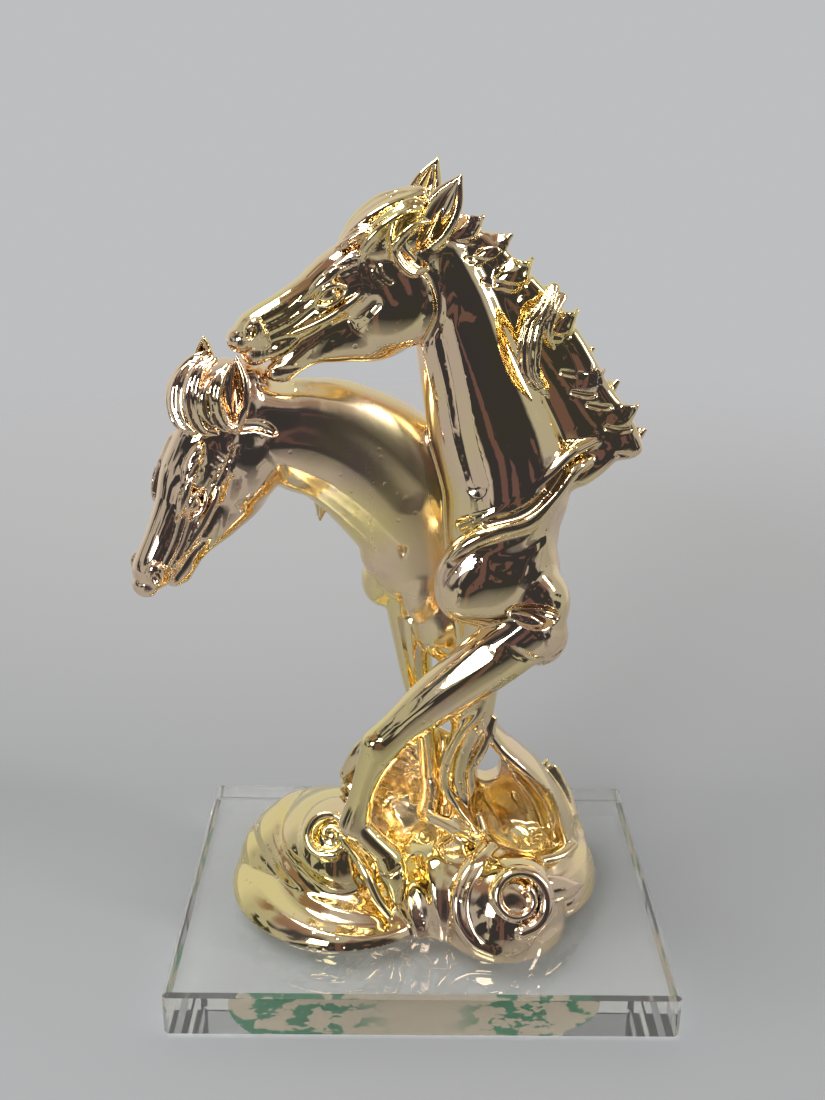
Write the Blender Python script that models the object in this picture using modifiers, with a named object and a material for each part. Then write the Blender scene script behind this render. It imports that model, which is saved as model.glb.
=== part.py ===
"""A gilt casting of two horses rising from a breaking wave, on a clear glass plinth.

World frame: X to the viewer's right, Y away from the viewer, Z up, in metres.
The origin is the middle of the plinth's underside.

The figure's own frame has its zero on the plinth's top. It is written in units that make a
millimetre at the real size, and the finished figure is scaled to FIGURE_HEIGHT.
"""

import math

import bmesh
import bpy
import numpy as np
from mathutils import Matrix, Vector

# Plinth, in metres
PLINTH_LENGTH = 0.200
PLINTH_WIDTH = 0.150
PLINTH_HEIGHT = 0.020
PLINTH_CHAMFER = 0.0015

# Casting, in metres
FIGURE_HEIGHT = 0.302
SEAT_GAP = 0.0003

# Surface fineness of the casting
VOXEL = 1.15
FIGURE_TRIANGLES = 9300

# Heads: distance from poll to muzzle, in units
HEAD_LENGTH = 80.0


def vec(*values):
    """Return the values as an array of floats."""
    return np.array(values, dtype=float)


def unit_vector(v):
    """Return v at length one."""
    return v / np.linalg.norm(v)


def spline(rows, steps):
    """Return rows of numbers run through by a Catmull-Rom curve, with steps points a span."""
    rows = np.asarray(rows, dtype=float)
    first = 2 * rows[0] - rows[1]
    last = 2 * rows[-1] - rows[-2]
    padded = np.vstack([first, rows, last])
    out = []
    for i in range(1, len(padded) - 2):
        p0, p1, p2, p3 = padded[i - 1], padded[i], padded[i + 1], padded[i + 2]
        for j in range(steps):
            t = j / steps
            a = 2 * p1
            b = (p2 - p0) * t
            c = (2 * p0 - 5 * p1 + 4 * p2 - p3) * t * t
            d = (3 * p1 - p0 - 3 * p2 + p3) * t ** 3
            out.append(0.5 * (a + b + c + d))
    out.append(padded[-2])
    return np.array(out)


def limb(bm, stations, side, sides=18, steps=5, square=1.0, place=None):
    """Add a closed limb through the stations.

    Each station is x, y, z, the half thickness across the limb and the half width along side.
    """
    rows = spline(stations, steps)
    rows[:, 3:5] = np.maximum(rows[:, 3:5], 0.25)
    centres = rows[:, :3]
    tangents = np.gradient(centres, axis=0)
    across = unit_vector(vec(*side))
    rings = []
    for centre, tangent, (thick, wide) in zip(centres, tangents, rows[:, 3:5]):
        along = unit_vector(tangent)
        lateral = unit_vector(across - along * across.dot(along))
        normal = np.cross(along, lateral)
        ring = []
        for k in range(sides):
            turn = 2 * math.pi * k / sides
            c, s = math.cos(turn), math.sin(turn)
            c = math.copysign(abs(c) ** square, c)
            s = math.copysign(abs(s) ** square, s)
            ring.append(centre + normal * thick * c + lateral * wide * s)
        rings.append((ring, centre, along, min(thick, wide)))
    start = rings[0]
    finish = rings[-1]
    caps = []
    for ring, centre, along, reach in (start, finish):
        outward = -along if ring is start[0] else along
        caps.append([centre + (point - centre) * 0.7 + outward * reach * 0.7 for point in ring])
    loops = [caps[0]] + [ring[0] for ring in rings] + [caps[1]]
    verts = []
    for loop in loops:
        points = [Vector(point) for point in loop]
        if place is not None:
            points = [place @ point for point in points]
        verts.append([bm.verts.new(point) for point in points])
    for lower, upper in zip(verts, verts[1:]):
        for k in range(sides):
            n = (k + 1) % sides
            bm.faces.new((lower[k], lower[n], upper[n], upper[k]))
    for loop, centre, outward, reach in (
        (verts[0], start[1], -start[2], start[3]),
        (verts[-1], finish[1], finish[2], finish[3]),
    ):
        tip = Vector(centre + outward * reach)
        if place is not None:
            tip = place @ tip
        apex = bm.verts.new(tip)
        for k in range(sides):
            bm.faces.new((loop[k], loop[(k + 1) % sides], apex))


def blob(bm, centre, radii, turn=(0, 0, 0), place=None):
    """Add an ellipsoid; turn is its rotation about X, Y and Z in degrees."""
    spin = Matrix.Identity(4)
    for axis, angle in zip("XYZ", turn):
        spin = Matrix.Rotation(math.radians(angle), 4, axis) @ spin
    matrix = Matrix.Translation(centre) @ spin @ Matrix.Diagonal((*radii, 1.0))
    if place is not None:
        matrix = place @ matrix
    bmesh.ops.create_uvsphere(bm, u_segments=24, v_segments=14, radius=1.0, matrix=matrix)


def leaf(bm, base, tip, wide, thick, side, place=None):
    """Add a leaf, an ear or a tuft of hair, from base to a pointed tip."""
    base, tip = vec(*base), vec(*tip)
    rows = []
    shape = ((0, 0.75, 1.0), (0.25, 1.0, 1.0), (0.55, 0.85, 0.8), (0.8, 0.5, 0.6), (1, 0.12, 0.2))
    for share, w, t in shape:
        centre = base + (tip - base) * share
        rows.append((*centre, thick * t, wide * w))
    limb(bm, rows, side, sides=12, steps=3, place=place)


def head_frame(poll, yaw, pitch):
    """Return the matrix of a head: X to the muzzle, Y to the viewer's side, Z to the forehead."""
    yaw, pitch = math.radians(yaw), math.radians(pitch)
    forward = Vector((-math.cos(yaw) * math.cos(pitch), -math.sin(yaw) * math.cos(pitch), -math.sin(pitch)))
    near = Vector((math.sin(yaw), -math.cos(yaw), 0.0))
    top = near.cross(forward)
    if top.z < 0:
        top = -top
    matrix = Matrix.Identity(4)
    for row in range(3):
        matrix[row][0] = forward[row]
        matrix[row][1] = near[row]
        matrix[row][2] = top[row]
        matrix[row][3] = poll[row]
    return matrix


def add_head(bm, frame, close):
    """Add a horse's skull, cheeks, jaw and brows in its own frame; close lifts the lower jaw."""
    scale = HEAD_LENGTH / 80.0

    def at(*row):
        return tuple(value * scale for value in row)

    skull = (
        at(-5, 0, -9, 9, 8),
        at(6, 0, -8.5, 12.5, 11),
        at(20, 0, -6.5, 15, 12.4),
        at(34, 0, -4.8, 13, 11.4),
        at(46, 0, -6.3, 11, 9.6),
        at(58, 0, -6.8, 9.6, 8.2),
        at(68, 0, -5.8, 7.6, 7.8),
        at(75, 0, -5.0, 5.8, 7.8),
        at(80, 0, -4.8, 3.6, 5.8),
    )
    limb(bm, skull, (0, 1, 0), sides=22, square=0.9, place=frame)
    for sign in (-1, 1):
        blob(bm, at(22, 6.0 * sign, -18), at(16.5, 7.4, 16.5), turn=(0, -8, 0), place=frame)
        blob(bm, at(31, 8.6 * sign, 2.4), at(8.5, 3.6, 4.0), turn=(0, 10, -8 * sign), place=frame)
        blob(bm, at(41, 10.2 * sign, -2.8), at(4.2, 2.8, 3.2), place=frame)
        blob(bm, at(46, 8.6 * sign, -10), at(15, 3.0, 2.6), turn=(0, 3, -10 * sign), place=frame)
        blob(bm, at(73.5, 6.6 * sign, -3.6), at(4.6, 2.6, 4.0), turn=(0, 28, 0), place=frame)
    lift = math.tan(math.radians(close))

    def jaw_z(x, z):
        return z + max(x - 45, 0) * lift

    jaw = (
        at(14, 0, -22, 11, 8.4),
        at(30, 0, -23.5, 12, 8.6),
        at(42, 0, -20.5, 10.3, 7.4),
        at(52, 0, jaw_z(52, -18.2), 8.2, 6.4),
        at(60, 0, jaw_z(60, -18.0), 5.6, 5.8),
        at(67, 0, jaw_z(67, -18.8), 4.8, 5.4),
        at(72, 0, jaw_z(72, -19.0), 3.6, 4.4),
    )
    limb(bm, jaw, (0, 1, 0), sides=18, place=frame)
    blob(bm, at(68, 0, jaw_z(68, -21.2)), at(4.8, 3.8, 3.2), place=frame)


def add_curl(bm, middle, radius, start, sweep, thick, grow, frame, side):
    """Add a lock that winds round its middle, in the plane across side."""
    middle = vec(*middle)
    side = unit_vector(vec(*side))
    first = unit_vector(np.cross(side, vec(0.3, 0.2, 1.0)))
    second = np.cross(side, first)
    rows = []
    count = 7
    for i in range(count):
        share = i / (count - 1)
        turn = math.radians(start + sweep * share)
        reach = radius * (1 + grow * share)
        centre = middle + (first * math.cos(turn) + second * math.sin(turn)) * reach
        size = thick * (0.45 + 0.55 * math.sin(math.pi * min(share * 1.25, 1.0)))
        rows.append((*centre, size, size * 1.2))
    limb(bm, rows, side, sides=10, steps=3, place=frame)


def add_upper_horse(bm):
    """Add the nearer horse: head, mane, neck, shoulder and bent foreleg."""
    frame = head_frame((-2, -7, 279), 16, 24.5)
    add_head(bm, frame, 0)
    # Ears
    leaf(bm, (-5, -14, 271), (9, -17, 296.5), 7.0, 3.8, (0.85, -0.3, -0.4))
    leaf(bm, (-9, 3, 274), (1.5, 6, 302.5), 6.0, 4.0, (0.85, 0.3, -0.35))
    # Forelock
    blob(bm, (13, 0, 6.0), (18, 11.5, 9.5), place=frame)
    blob(bm, (24, 1, 6.0), (10, 9.5, 7.5), place=frame)
    add_curl(bm, (-6, -20, 272), 7.0, 20, 300, 3.0, 0.35, None, (0.2, -1, 0.2))
    leaf(bm, (-19, -19, 284), (-29, -20, 266), 3.6, 2.4, (0.8, -0.2, 0.5))
    # Neck, from the poll to the shoulder
    neck = (
        (2, -5, 268, 13.5, 10.5),
        (9, -5, 251, 16.8, 12),
        (15, -6, 231, 19.8, 13.5),
        (22.5, -7, 209, 23.5, 15.5),
        (29.5, -8, 188, 24.5, 17.5),
        (29, -9, 168, 22, 18.5),
        (29, -9, 150, 20, 18.5),
    )
    limb(bm, neck, (0, 1, 0), sides=24)
    # Sheet of the mane, with its thinner outer part
    sheet = (
        (4, -6, 274, 7, 4.8),
        (17, -6, 263, 9, 4.8),
        (31, -7, 246, 10.5, 5.0),
        (44, -8, 227, 12.5, 5.0),
        (56, -9, 209, 13, 4.8),
        (64, -9, 199, 9, 4.2),
    )
    limb(bm, sheet, (0, 1, 0), sides=20, square=0.75)
    brim = (
        (7, -6, 279, 4.6, 3.6),
        (17.5, -7, 271.5, 5, 3.6),
        (27.5, -7, 263.5, 5, 3.6),
        (37, -8, 254.5, 5, 3.6),
        (45, -8, 246, 5, 3.6),
        (52, -8, 236.5, 5, 3.6),
        (57.5, -9, 227.5, 5, 3.6),
        (62.5, -9, 219.5, 5, 3.6),
        (68.5, -9, 212, 5, 3.6),
        (73.5, -9, 204.5, 4.6, 3.4),
        (76.5, -9, 199.5, 3, 2.8),
    )
    limb(bm, brim, (0, 1, 0), sides=14, steps=4)
    blob(bm, (69, -9, 201), (11, 4.2, 6.4), turn=(0, 12, 0))
    blob(bm, (60, -10, 191), (15, 5.2, 4.8), turn=(0, -38, 0))
    # Teeth along the mane's edge
    teeth = (
        ((4, 277), (17.5, 283)),
        ((13, 270), (28, 276.5)),
        ((24, 262), (35.5, 268.5)),
        ((33, 252.5), (45.5, 258.5)),
        ((40, 244), (52.5, 250.5)),
        ((47, 234), (59.5, 236.5)),
        ((52, 225), (63.5, 229)),
        ((56, 217), (69.5, 224.5)),
        ((62, 210), (77, 216)),
        ((67, 202), (81, 206)),
    )
    for (bx, bz), (tx, tz) in teeth:
        leaf(bm, (bx, -8, bz), (tx, -8.5, tz), 6.2, 3.6, (0.6, 0, 0.8))
    # Lock that hangs over the neck
    lock = (
        (43, -14, 259, 2.6, 2.6),
        (40, -18, 253, 2.8, 3.4),
        (36, -20, 247, 3.0, 4.2),
        (34.5, -21.5, 238, 3.0, 4.6),
        (36, -21.5, 229, 2.8, 3.6),
        (42.5, -19.5, 221, 1.4, 1.4),
    )
    limb(bm, lock, (1, 0.2, 0.3), sides=12, steps=4)
    # Shoulder, elbow and breast
    blob(bm, (24, -18, 150), (21, 13, 20), turn=(0, -18, 6))
    blob(bm, (14, -20, 146), (11, 11, 13))
    blob(bm, (41, -17, 139), (14.5, 12, 16))
    blob(bm, (44, -17, 126), (11.5, 10, 13))
    # Two swooping folds from the mane's end over the shoulder
    inner_fold = (
        (62, -11, 203, 2.8, 3.2),
        (52, -16, 199, 3.0, 3.6),
        (44, -19, 192, 3.0, 4.0),
        (34, -21.5, 184.5, 3.0, 4.0),
        (23, -22.5, 178, 3.0, 4.0),
        (12, -21, 172, 2.4, 3.0),
    )
    limb(bm, inner_fold, (0, 1, 0), sides=12, steps=4)
    outer_fold = (
        (62, -10, 196, 2.8, 3.2),
        (54, -16, 193, 3.2, 4.0),
        (46, -20, 184, 3.6, 4.6),
        (37, -23.5, 175.5, 4.0, 5.0),
        (24, -26, 172, 4.2, 5.0),
        (13, -26.5, 166, 4.0, 4.6),
        (6.5, -25, 156, 3.2, 4.0),
        (6, -24, 146, 2.2, 3.0),
    )
    limb(bm, outer_fold, (0, 1, 0), sides=12, steps=4)
    belly = (
        (31, -8, 150, 21, 17),
        (31, -5, 132, 19, 16.5),
        (27, -2, 115, 15, 14),
        (20, 1, 99, 12.5, 11),
        (18, 3, 84, 10.5, 10),
    )
    limb(bm, belly, (0, 1, 0), sides=20)
    # Foreleg: forearm, knee, cannon, fetlock, pastern and hoof
    foreleg = (
        (40, -20, 129, 12.5, 11.5),
        (24, -23, 117, 12.2, 11),
        (5, -25, 102, 10.4, 9.5),
        (-9, -26, 89, 8.8, 8),
        (-17, -27, 80, 8.6, 7.6),
        (-22, -27, 68, 6.4, 6.2),
        (-25, -27, 57, 5.8, 5.8),
        (-28, -28, 44, 7.2, 6.4),
    )
    limb(bm, foreleg, (0, 1, 0), sides=18)
    blob(bm, (-20, -28, 83), (6.5, 6.5, 6.5))
    pastern = (
        (-27, -28, 44, 5.6, 5.6),
        (-20, -30, 37, 5.4, 5.4),
        (-13, -31, 30, 6.0, 6.0),
    )
    limb(bm, pastern, (0, 1, 0), sides=14)
    hoof = (
        (-13, -31, 31, 6.2, 6.2),
        (-11.5, -33, 24, 6.2, 6.4),
        (-10.5, -35, 16, 3.8, 5.0),
    )
    limb(bm, hoof, (0, 1, 0), sides=8, steps=2)


def add_lower_horse(bm):
    """Add the farther horse: head, neck, breast and foreleg."""
    frame = head_frame((-73, -22, 225), 37, 58)
    add_head(bm, frame, 7)
    # Ears
    leaf(bm, (-68, -28.5, 212.5), (-68, -27, 235.5), 5.4, 3.2, (0.9, -0.35, 0.0))
    leaf(bm, (-81, -17, 223), (-80.5, -19, 241), 5.0, 3.2, (0.75, -0.3, 0.0))
    # Forelock
    blob(bm, (8, 0, 5.5), (14, 12, 9), place=frame)
    add_curl(bm, (-83, -36, 216), 5.4, 160, 300, 2.6, 0.2, None, (-0.5, -0.8, 0.3))
    # Neck, from the poll to the breast
    neck = (
        (-68, -19, 212, 15, 11.5),
        (-58, -14, 206, 19, 13.5),
        (-48, -9, 203, 22, 15),
        (-34, -3, 198, 24.5, 16.5),
        (-17, 3, 185, 27.5, 18),
        (-4, 8, 165, 27, 18.5),
        (0, 11, 145, 24, 18),
    )
    limb(bm, neck, (0, 1, 0), sides=24)
    # Breast lobes
    blob(bm, (-15, 15, 137), (11.5, 11.5, 14), turn=(0, 14, 0))
    blob(bm, (-1, 3, 138), (10, 11.5, 15.5), turn=(0, 6, 0))
    blob(bm, (-14, 6, 150), (12, 10, 10))
    blob(bm, (10, 4, 120), (14, 13.5, 16))
    # Lock of mane that hangs below the neck on the far side
    leaf(bm, (-40, 4, 184), (-42, 2, 165), 4.0, 2.8, (0.9, 0.3, 0))
    # Foreleg
    foreleg = (
        (-7, 12, 130, 10, 9.5),
        (-5, 12, 112, 8.6, 8.5),
        (-3, 12, 95, 7.0, 7.0),
        (0, 12, 78, 6.0, 6.0),
        (2.5, 11, 62, 4.8, 5.0),
        (4, 10, 44, 4.6, 5.0),
    )
    limb(bm, foreleg, (0, 1, 0), sides=14)
    hoof = (
        (4.5, 9, 43, 4.6, 5.0),
        (4.5, 8, 36, 5.4, 5.6),
        (3.5, 7, 30, 5.8, 6.0),
    )
    limb(bm, hoof, (0, 1, 0), sides=8, steps=2)


def add_column(bm):
    """Add the twisted column of water that carries the horses, and its ridge."""
    column = (
        (18, 2, 98, 12, 11),
        (20.5, 2, 84, 9.4, 10),
        (18.5, 2, 72, 7.8, 9),
        (15.5, 2, 61, 7.2, 9),
        (15, 2, 51, 7.6, 9.5),
        (18.5, 2, 41, 8.4, 10.5),
        (22, 0, 28, 12, 14),
        (22, 2, 12, 18, 20),
    )
    limb(bm, column, (0, 1, 0), sides=18)
    left_ridge = ((24, -6, 90), (21.5, -7, 84), (15.5, -7, 76), (10.5, -7, 64), (9, -8, 52), (14.5, -9, 43),
                  (25, -15, 33))
    right_ridge = ((29, -2, 80), (25, -5, 68), (20.5, -6, 59), (20.5, -7, 51), (22.5, -9, 41), (28, -18, 32))
    for ridge, size in ((left_ridge, 2.6), (right_ridge, 2.4)):
        limb(bm, [(*point, size, size) for point in ridge], (0, 1, 0), sides=10, steps=4)


def add_breaking_crest(bm):
    """Add the wave's curling crest beside the column, and the wall behind its bowl."""
    band = (
        (63, 7, 6, 7, 14),
        (63, 5, 16, 5.2, 13),
        (61.5, 4, 26, 4.6, 12.5),
        (58, 3, 36, 4.4, 12),
        (52.5, 2, 46, 4.2, 11.5),
        (46.5, 2, 54.5, 4.0, 11),
        (39.5, 2, 61, 4.0, 10.5),
        (32.5, 3, 67, 4.0, 9.5),
        (27, 3, 75, 3.8, 8),
        (23, 3, 85, 3.6, 7),
    )
    limb(bm, band, (0, 1, 0), sides=18, steps=4, square=0.85)
    rim = (
        (24, -10, 38, 2.6, 2.8),
        (28, -17, 30, 2.8, 3.2),
        (36, -17.5, 24.5, 2.8, 4.2),
        (46, -16, 21.5, 2.8, 4.6),
        (57, -12, 21, 2.8, 4.6),
        (64, -6, 22, 2.8, 4.2),
    )
    limb(bm, rim, (0, 1, 0), sides=12)
    back = (
        (17, 10, 30, 24, 4.5),
        (27, 15, 29, 27, 4.5),
        (38, 16, 27, 30, 4.5),
        (48, 14, 23, 28, 5.0),
        (57, 9, 18, 22, 5.5),
    )
    limb(bm, back, (0, 1, 0), sides=18, square=0.8)


# Outline of the wave base on the plinth, in units, from the front valley round by the right
BASE_OUTLINE = (
    (-4, -37), (8, -44), (29, -55), (46, -46), (55, -31), (70, -13), (77, 8), (78, 31), (73, 48),
    (58, 57), (34, 58), (10, 54), (-12, 52), (-36, 51), (-58, 42), (-73, 27), (-82, 6), (-74, -23),
    (-54, -43), (-32, -50),
)


def closed_spline(points, steps):
    """Return a closed Catmull-Rom curve through the points."""
    points = np.asarray(points, dtype=float)
    wrapped = np.vstack([points[-2:], points, points[:2]])
    return spline(wrapped, steps)[2 * steps:-(2 * steps + steps)]


def inside_distance(x, y, line):
    """Return the distance from x, y to a closed line."""
    best = np.full(np.shape(x), 1e9)
    for a, b in zip(line, np.roll(line, -1, axis=0)):
        span = b - a
        t = ((x - a[0]) * span[0] + (y - a[1]) * span[1]) / max(span @ span, 1e-9)
        t = np.clip(t, 0, 1)
        gap = np.hypot(x - a[0] - t * span[0], y - a[1] - t * span[1])
        best = np.minimum(best, gap)
    return best


def hill(x, y, centre, reach, height, turn=0.0):
    """Return a smooth hill's height at x, y; reach is its half sizes."""
    turn = math.radians(turn)
    dx, dy = x - centre[0], y - centre[1]
    u = (dx * math.cos(turn) + dy * math.sin(turn)) / reach[0]
    v = (dy * math.cos(turn) - dx * math.sin(turn)) / reach[1]
    return height * np.exp(-1.6 * (u * u + v * v))


def base_height(x, y, depth):
    """Return the wave base's height at x, y, which lies depth inside the outline."""
    left = np.interp(depth, (0, 2, 5, 10, 16, 22, 30, 38, 46), (1, 6, 9, 12, 17, 23, 30, 35, 37))
    left = left + 1.1 * np.sin(depth * 2 * math.pi / 11 - 1.2) * np.clip(depth / 8, 0, 1)
    right = np.interp(depth, (0, 2, 5, 10, 16, 24, 34, 46), (1, 7, 12, 18, 24, 29, 32, 33))
    share = np.clip((x + 14) / 20, 0, 1)
    share = share * share * (3 - 2 * share)
    height = left * (1 - share) + right * share
    height = height + hill(x, y, (-44, 17), (24, 13), 7, -16)
    height = height + hill(x, y, (-62, 16), (16, 26), 7)
    height = height + hill(x, y, (-12, 24), (18, 13), 22)
    height = height - hill(x, y, (-2, -38), (7, 16), 7)
    height = height - hill(x, y, (40, 2), (16, 13), 20)
    return np.maximum(height, 0.5)


def add_base(bm):
    """Add the wave base as a mound over its outline, and its curls."""
    line = closed_spline(BASE_OUTLINE, 6)
    centre = vec(0, 6)
    ring_count = 34
    shares = [1 - (1 - i / ring_count) ** 1.4 for i in range(1, ring_count + 1)]
    rings = []
    for share in shares:
        points = centre + (line - centre) * share
        depth = inside_distance(points[:, 0], points[:, 1], line)
        heights = base_height(points[:, 0], points[:, 1], depth)
        rings.append([bm.verts.new((x, y, z)) for (x, y), z in zip(points, heights)])
    rings.append([bm.verts.new((x, y, -3)) for x, y in line])
    middle = base_height(centre[:1], centre[1:], inside_distance(centre[:1], centre[1:], line))[0]
    crown = bm.verts.new((centre[0], centre[1], middle))
    floor = bm.verts.new((centre[0], centre[1], -3))
    count = len(line)
    for k in range(count):
        n = (k + 1) % count
        bm.faces.new((crown, rings[0][k], rings[0][n]))
        for inner, outer in zip(rings, rings[1:]):
            bm.faces.new((inner[k], outer[k], outer[n], inner[n]))
        bm.faces.new((rings[-1][n], rings[-1][k], floor))
    wall = (
        (-26, 24, 30, 14, 6),
        (-15, 22, 40, 20, 6),
        (-4, 19, 45, 22, 6),
        (8, 14, 42, 22, 6),
    )
    limb(bm, wall, (0, 1, 0), sides=16)
    # Ridges that meet beside the bowl's rim, and the rims round the bent leg's hoof
    bowl_edge = ((4, 1, 31.5), (12, -7, 33), (20, -15, 33), (28, -21, 31))
    front_edge = ((28, -21, 31), (20, -31, 29.5), (14, -40, 22), (14.5, -46, 13), (20, -51, 6), (29, -55, 3.5))
    hoof_right = ((-8, -8, 31), (-2, -20, 30), (6, -30, 25), (10, -38, 17))
    hoof_left = ((-32, -22, 35), (-27, -27, 31), (-22, -33, 25), (-18, -37, 17))
    for edge, size in ((bowl_edge, 2.4), (front_edge, 2.8), (hoof_right, 2.4), (hoof_left, 2.4)):
        limb(bm, [(*point, size, size) for point in edge], (0, 0.4, 1), sides=10, steps=4)
    # Lip that runs out over the right lobe
    lip = ((47, -38, 22, 2.6, 5), (54, -35, 20, 2.8, 5.5), (61, -31, 17, 2.2, 4), (67, -25, 15, 1.2, 1.6))
    limb(bm, lip, (0, 0.4, 1), sides=10, steps=4)
    # Volute that faces the viewer on the right lobe
    blob(bm, (34, -26, 0), (25, 26.5, 29))
    middle = vec(38, -45, 22.5)
    normal = unit_vector(vec(0.05, -0.85, 0.53))
    first = vec(1, 0, 0)
    second = unit_vector(np.cross(first, normal))
    rows = []
    for i in range(15):
        turn = math.radians(125 - 34 * i)
        reach = 14.0 - 0.62 * i
        centre = middle + (first * math.cos(turn) - second * math.sin(turn)) * reach + normal
        size = 3.7 - 0.14 * i
        rows.append((*centre, size, size))
    limb(bm, rows, tuple(normal), sides=10, steps=3)
    # Small curl on the left lobe, below the bent leg
    blob(bm, (-37, -12, 17), (14.5, 15, 23))
    middle = vec(-39, -21.5, 35.5)
    normal = unit_vector(vec(-0.05, -0.79, 0.62))
    second = unit_vector(np.cross(first, normal))
    rows = []
    for i in range(10):
        turn = math.radians(60 - 36 * i)
        reach = 8.6 - 0.35 * i
        centre = middle + (first * math.cos(turn) - second * math.sin(turn)) * reach
        rows.append((*centre, 2.2, 2.2))
    limb(bm, rows, tuple(normal), sides=10, steps=3)


def hollow_cutter():
    """Return the object that hollows the casting.

    It has the wave's bowl, the opening beside the column, and the hollow above the bent elbow.
    """
    bm = bmesh.new()
    blob(bm, (39, -5, 36), (18.5, 18, 23.5), turn=(0, -26, 0))
    blob(bm, (28.5, 8, 50), (6.2, 22, 8.0), turn=(0, -12, 0))
    blob(bm, (41.5, -32.5, 138.5), (12.5, 7, 5.0), turn=(0, 9, -6))
    mesh = bpy.data.meshes.new("wave_hollows")
    bm.to_mesh(mesh)
    bm.free()
    item = bpy.data.objects.new("wave_hollows", mesh)
    joined = item.modifiers.new("one_body", "REMESH")
    joined.mode = "VOXEL"
    joined.voxel_size = VOXEL
    item.hide_render = True
    item.display_type = "WIRE"
    return item


def groove(points, normals, path, radius, depth, reach=None):
    """Press a groove along a path into the surface, or raise a ridge with a negative depth."""
    line = spline(path, 8)
    shift = np.zeros(len(points))
    near = np.full(len(points), 1e9)
    for a, b in zip(line, line[1:]):
        span = b - a
        t = np.clip(((points - a) @ span) / max(span @ span, 1e-9), 0, 1)
        gap = np.linalg.norm(points - (a + t[:, None] * span), axis=1)
        near = np.minimum(near, gap)
    share = np.clip(1 - (near / radius) ** 2, 0, 1)
    shift = depth * share * share
    points -= normals * shift[:, None]


def dent(points, normals, centre, radii, depth, facing=None):
    """Press a rounded hollow into the surface; facing keeps it to that side."""
    gap = (points - vec(*centre)) / vec(*radii)
    share = np.clip(1 - (gap ** 2).sum(axis=1), 0, 1)
    if facing is not None:
        share = share * (normals @ unit_vector(vec(*facing)) > -0.1)
    points -= normals * (depth * share ** 1.5)[:, None]


def carve(points, normals):
    """Carve the hollows and furrows that show from a step away."""
    # Hollows beside the upper horse's elbow and in the mouth of the small and the large curl
    dent(points, normals, (52, -18, 168), (9, 9, 12), 2.5)
    dent(points, normals, (-39, -27, 36), (6, 6, 6), 3)
    dent(points, normals, (38, -50, 24), (8, 8, 8), 3)
    # Furrows of the upper horse's neck, elbow and foreleg
    groove(points, normals, ((3, -17, 245), (8, -20, 225), (12, -22, 205), (17, -24, 188)), 5, 1.4)
    crease = ((10, -32, 139), (27, -34, 129.5), (37, -32, 123.5), (46, -28, 119), (55, -22, 124))
    groove(points, normals, crease, 3, 2)
    groove(points, normals, ((34, -31, 112), (16, -34, 99), (-4, -33, 85)), 4, 1.5)
    # Fold between the lower horse's breast lobes
    groove(points, normals, ((-9, -6, 158), (-8, -1, 145), (-8, 1, 132), (-6, 3, 124)), 4, 2.4)
    groove(points, normals, ((-9, 3, 122), (-7, 3, 106), (-4, 4, 88), (0, 5, 70)), 4, 1.8)
    # Valley between the wave's left and middle lobes, and the steps of the left one
    groove(points, normals, ((0, -26, 25), (3, -34, 17), (4, -40, 9), (5, -44, 2)), 6, 2.4)
    step = ((-60, 26, 24), (-60, 6, 20), (-55, -13, 18), (-45, -28, 15), (-30, -35, 13), (-16, -35, 12))
    groove(points, normals, step, 5, 1.6)


def gilt_mesh(cutters):
    """Return the casting's mesh, in units, in the figure's own frame."""
    bm = bmesh.new()
    add_upper_horse(bm)
    add_lower_horse(bm)
    add_column(bm)
    add_breaking_crest(bm)
    add_base(bm)
    bmesh.ops.recalc_face_normals(bm, faces=bm.faces)
    mesh = bpy.data.meshes.new("casting_parts")
    bm.to_mesh(mesh)
    bm.free()
    rough = bpy.data.objects.new("casting_parts", mesh)
    bpy.context.scene.collection.objects.link(rough)
    remesh = rough.modifiers.new("one_body", "REMESH")
    remesh.mode = "VOXEL"
    remesh.voxel_size = VOXEL
    cutter = hollow_cutter()
    cutters.objects.link(cutter)
    cut = rough.modifiers.new("hollows", "BOOLEAN")
    cut.operation = "DIFFERENCE"
    cut.object = cutter
    again = rough.modifiers.new("one_body_again", "REMESH")
    again.mode = "VOXEL"
    again.voxel_size = VOXEL
    smooth = rough.modifiers.new("soften", "SMOOTH")
    smooth.factor = 0.5
    smooth.iterations = 4
    body = evaluated(rough)
    points = np.empty(len(body.vertices) * 3)
    body.vertices.foreach_get("co", points)
    normals = np.empty(len(body.vertices) * 3)
    body.vertices.foreach_get("normal", normals)
    points = points.reshape(-1, 3)
    carve(points, normals.reshape(-1, 3))
    body.vertices.foreach_set("co", points.ravel())
    body.update()
    rough.modifiers.clear()
    rough.data = body
    count = sum(len(face.vertices) - 2 for face in body.polygons)
    soften = rough.modifiers.new("soften", "SMOOTH")
    soften.factor = 0.5
    soften.iterations = 2
    thin = rough.modifiers.new("facets", "DECIMATE")
    thin.decimate_type = "COLLAPSE"
    thin.ratio = FIGURE_TRIANGLES / count
    thin.use_collapse_triangulate = True
    final = evaluated(rough)
    bpy.data.objects.remove(rough)
    return final


def evaluated(item):
    """Return a new mesh of the object with its modifiers applied."""
    graph = bpy.context.evaluated_depsgraph_get()
    return bpy.data.meshes.new_from_object(item.evaluated_get(graph), depsgraph=graph)


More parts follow.
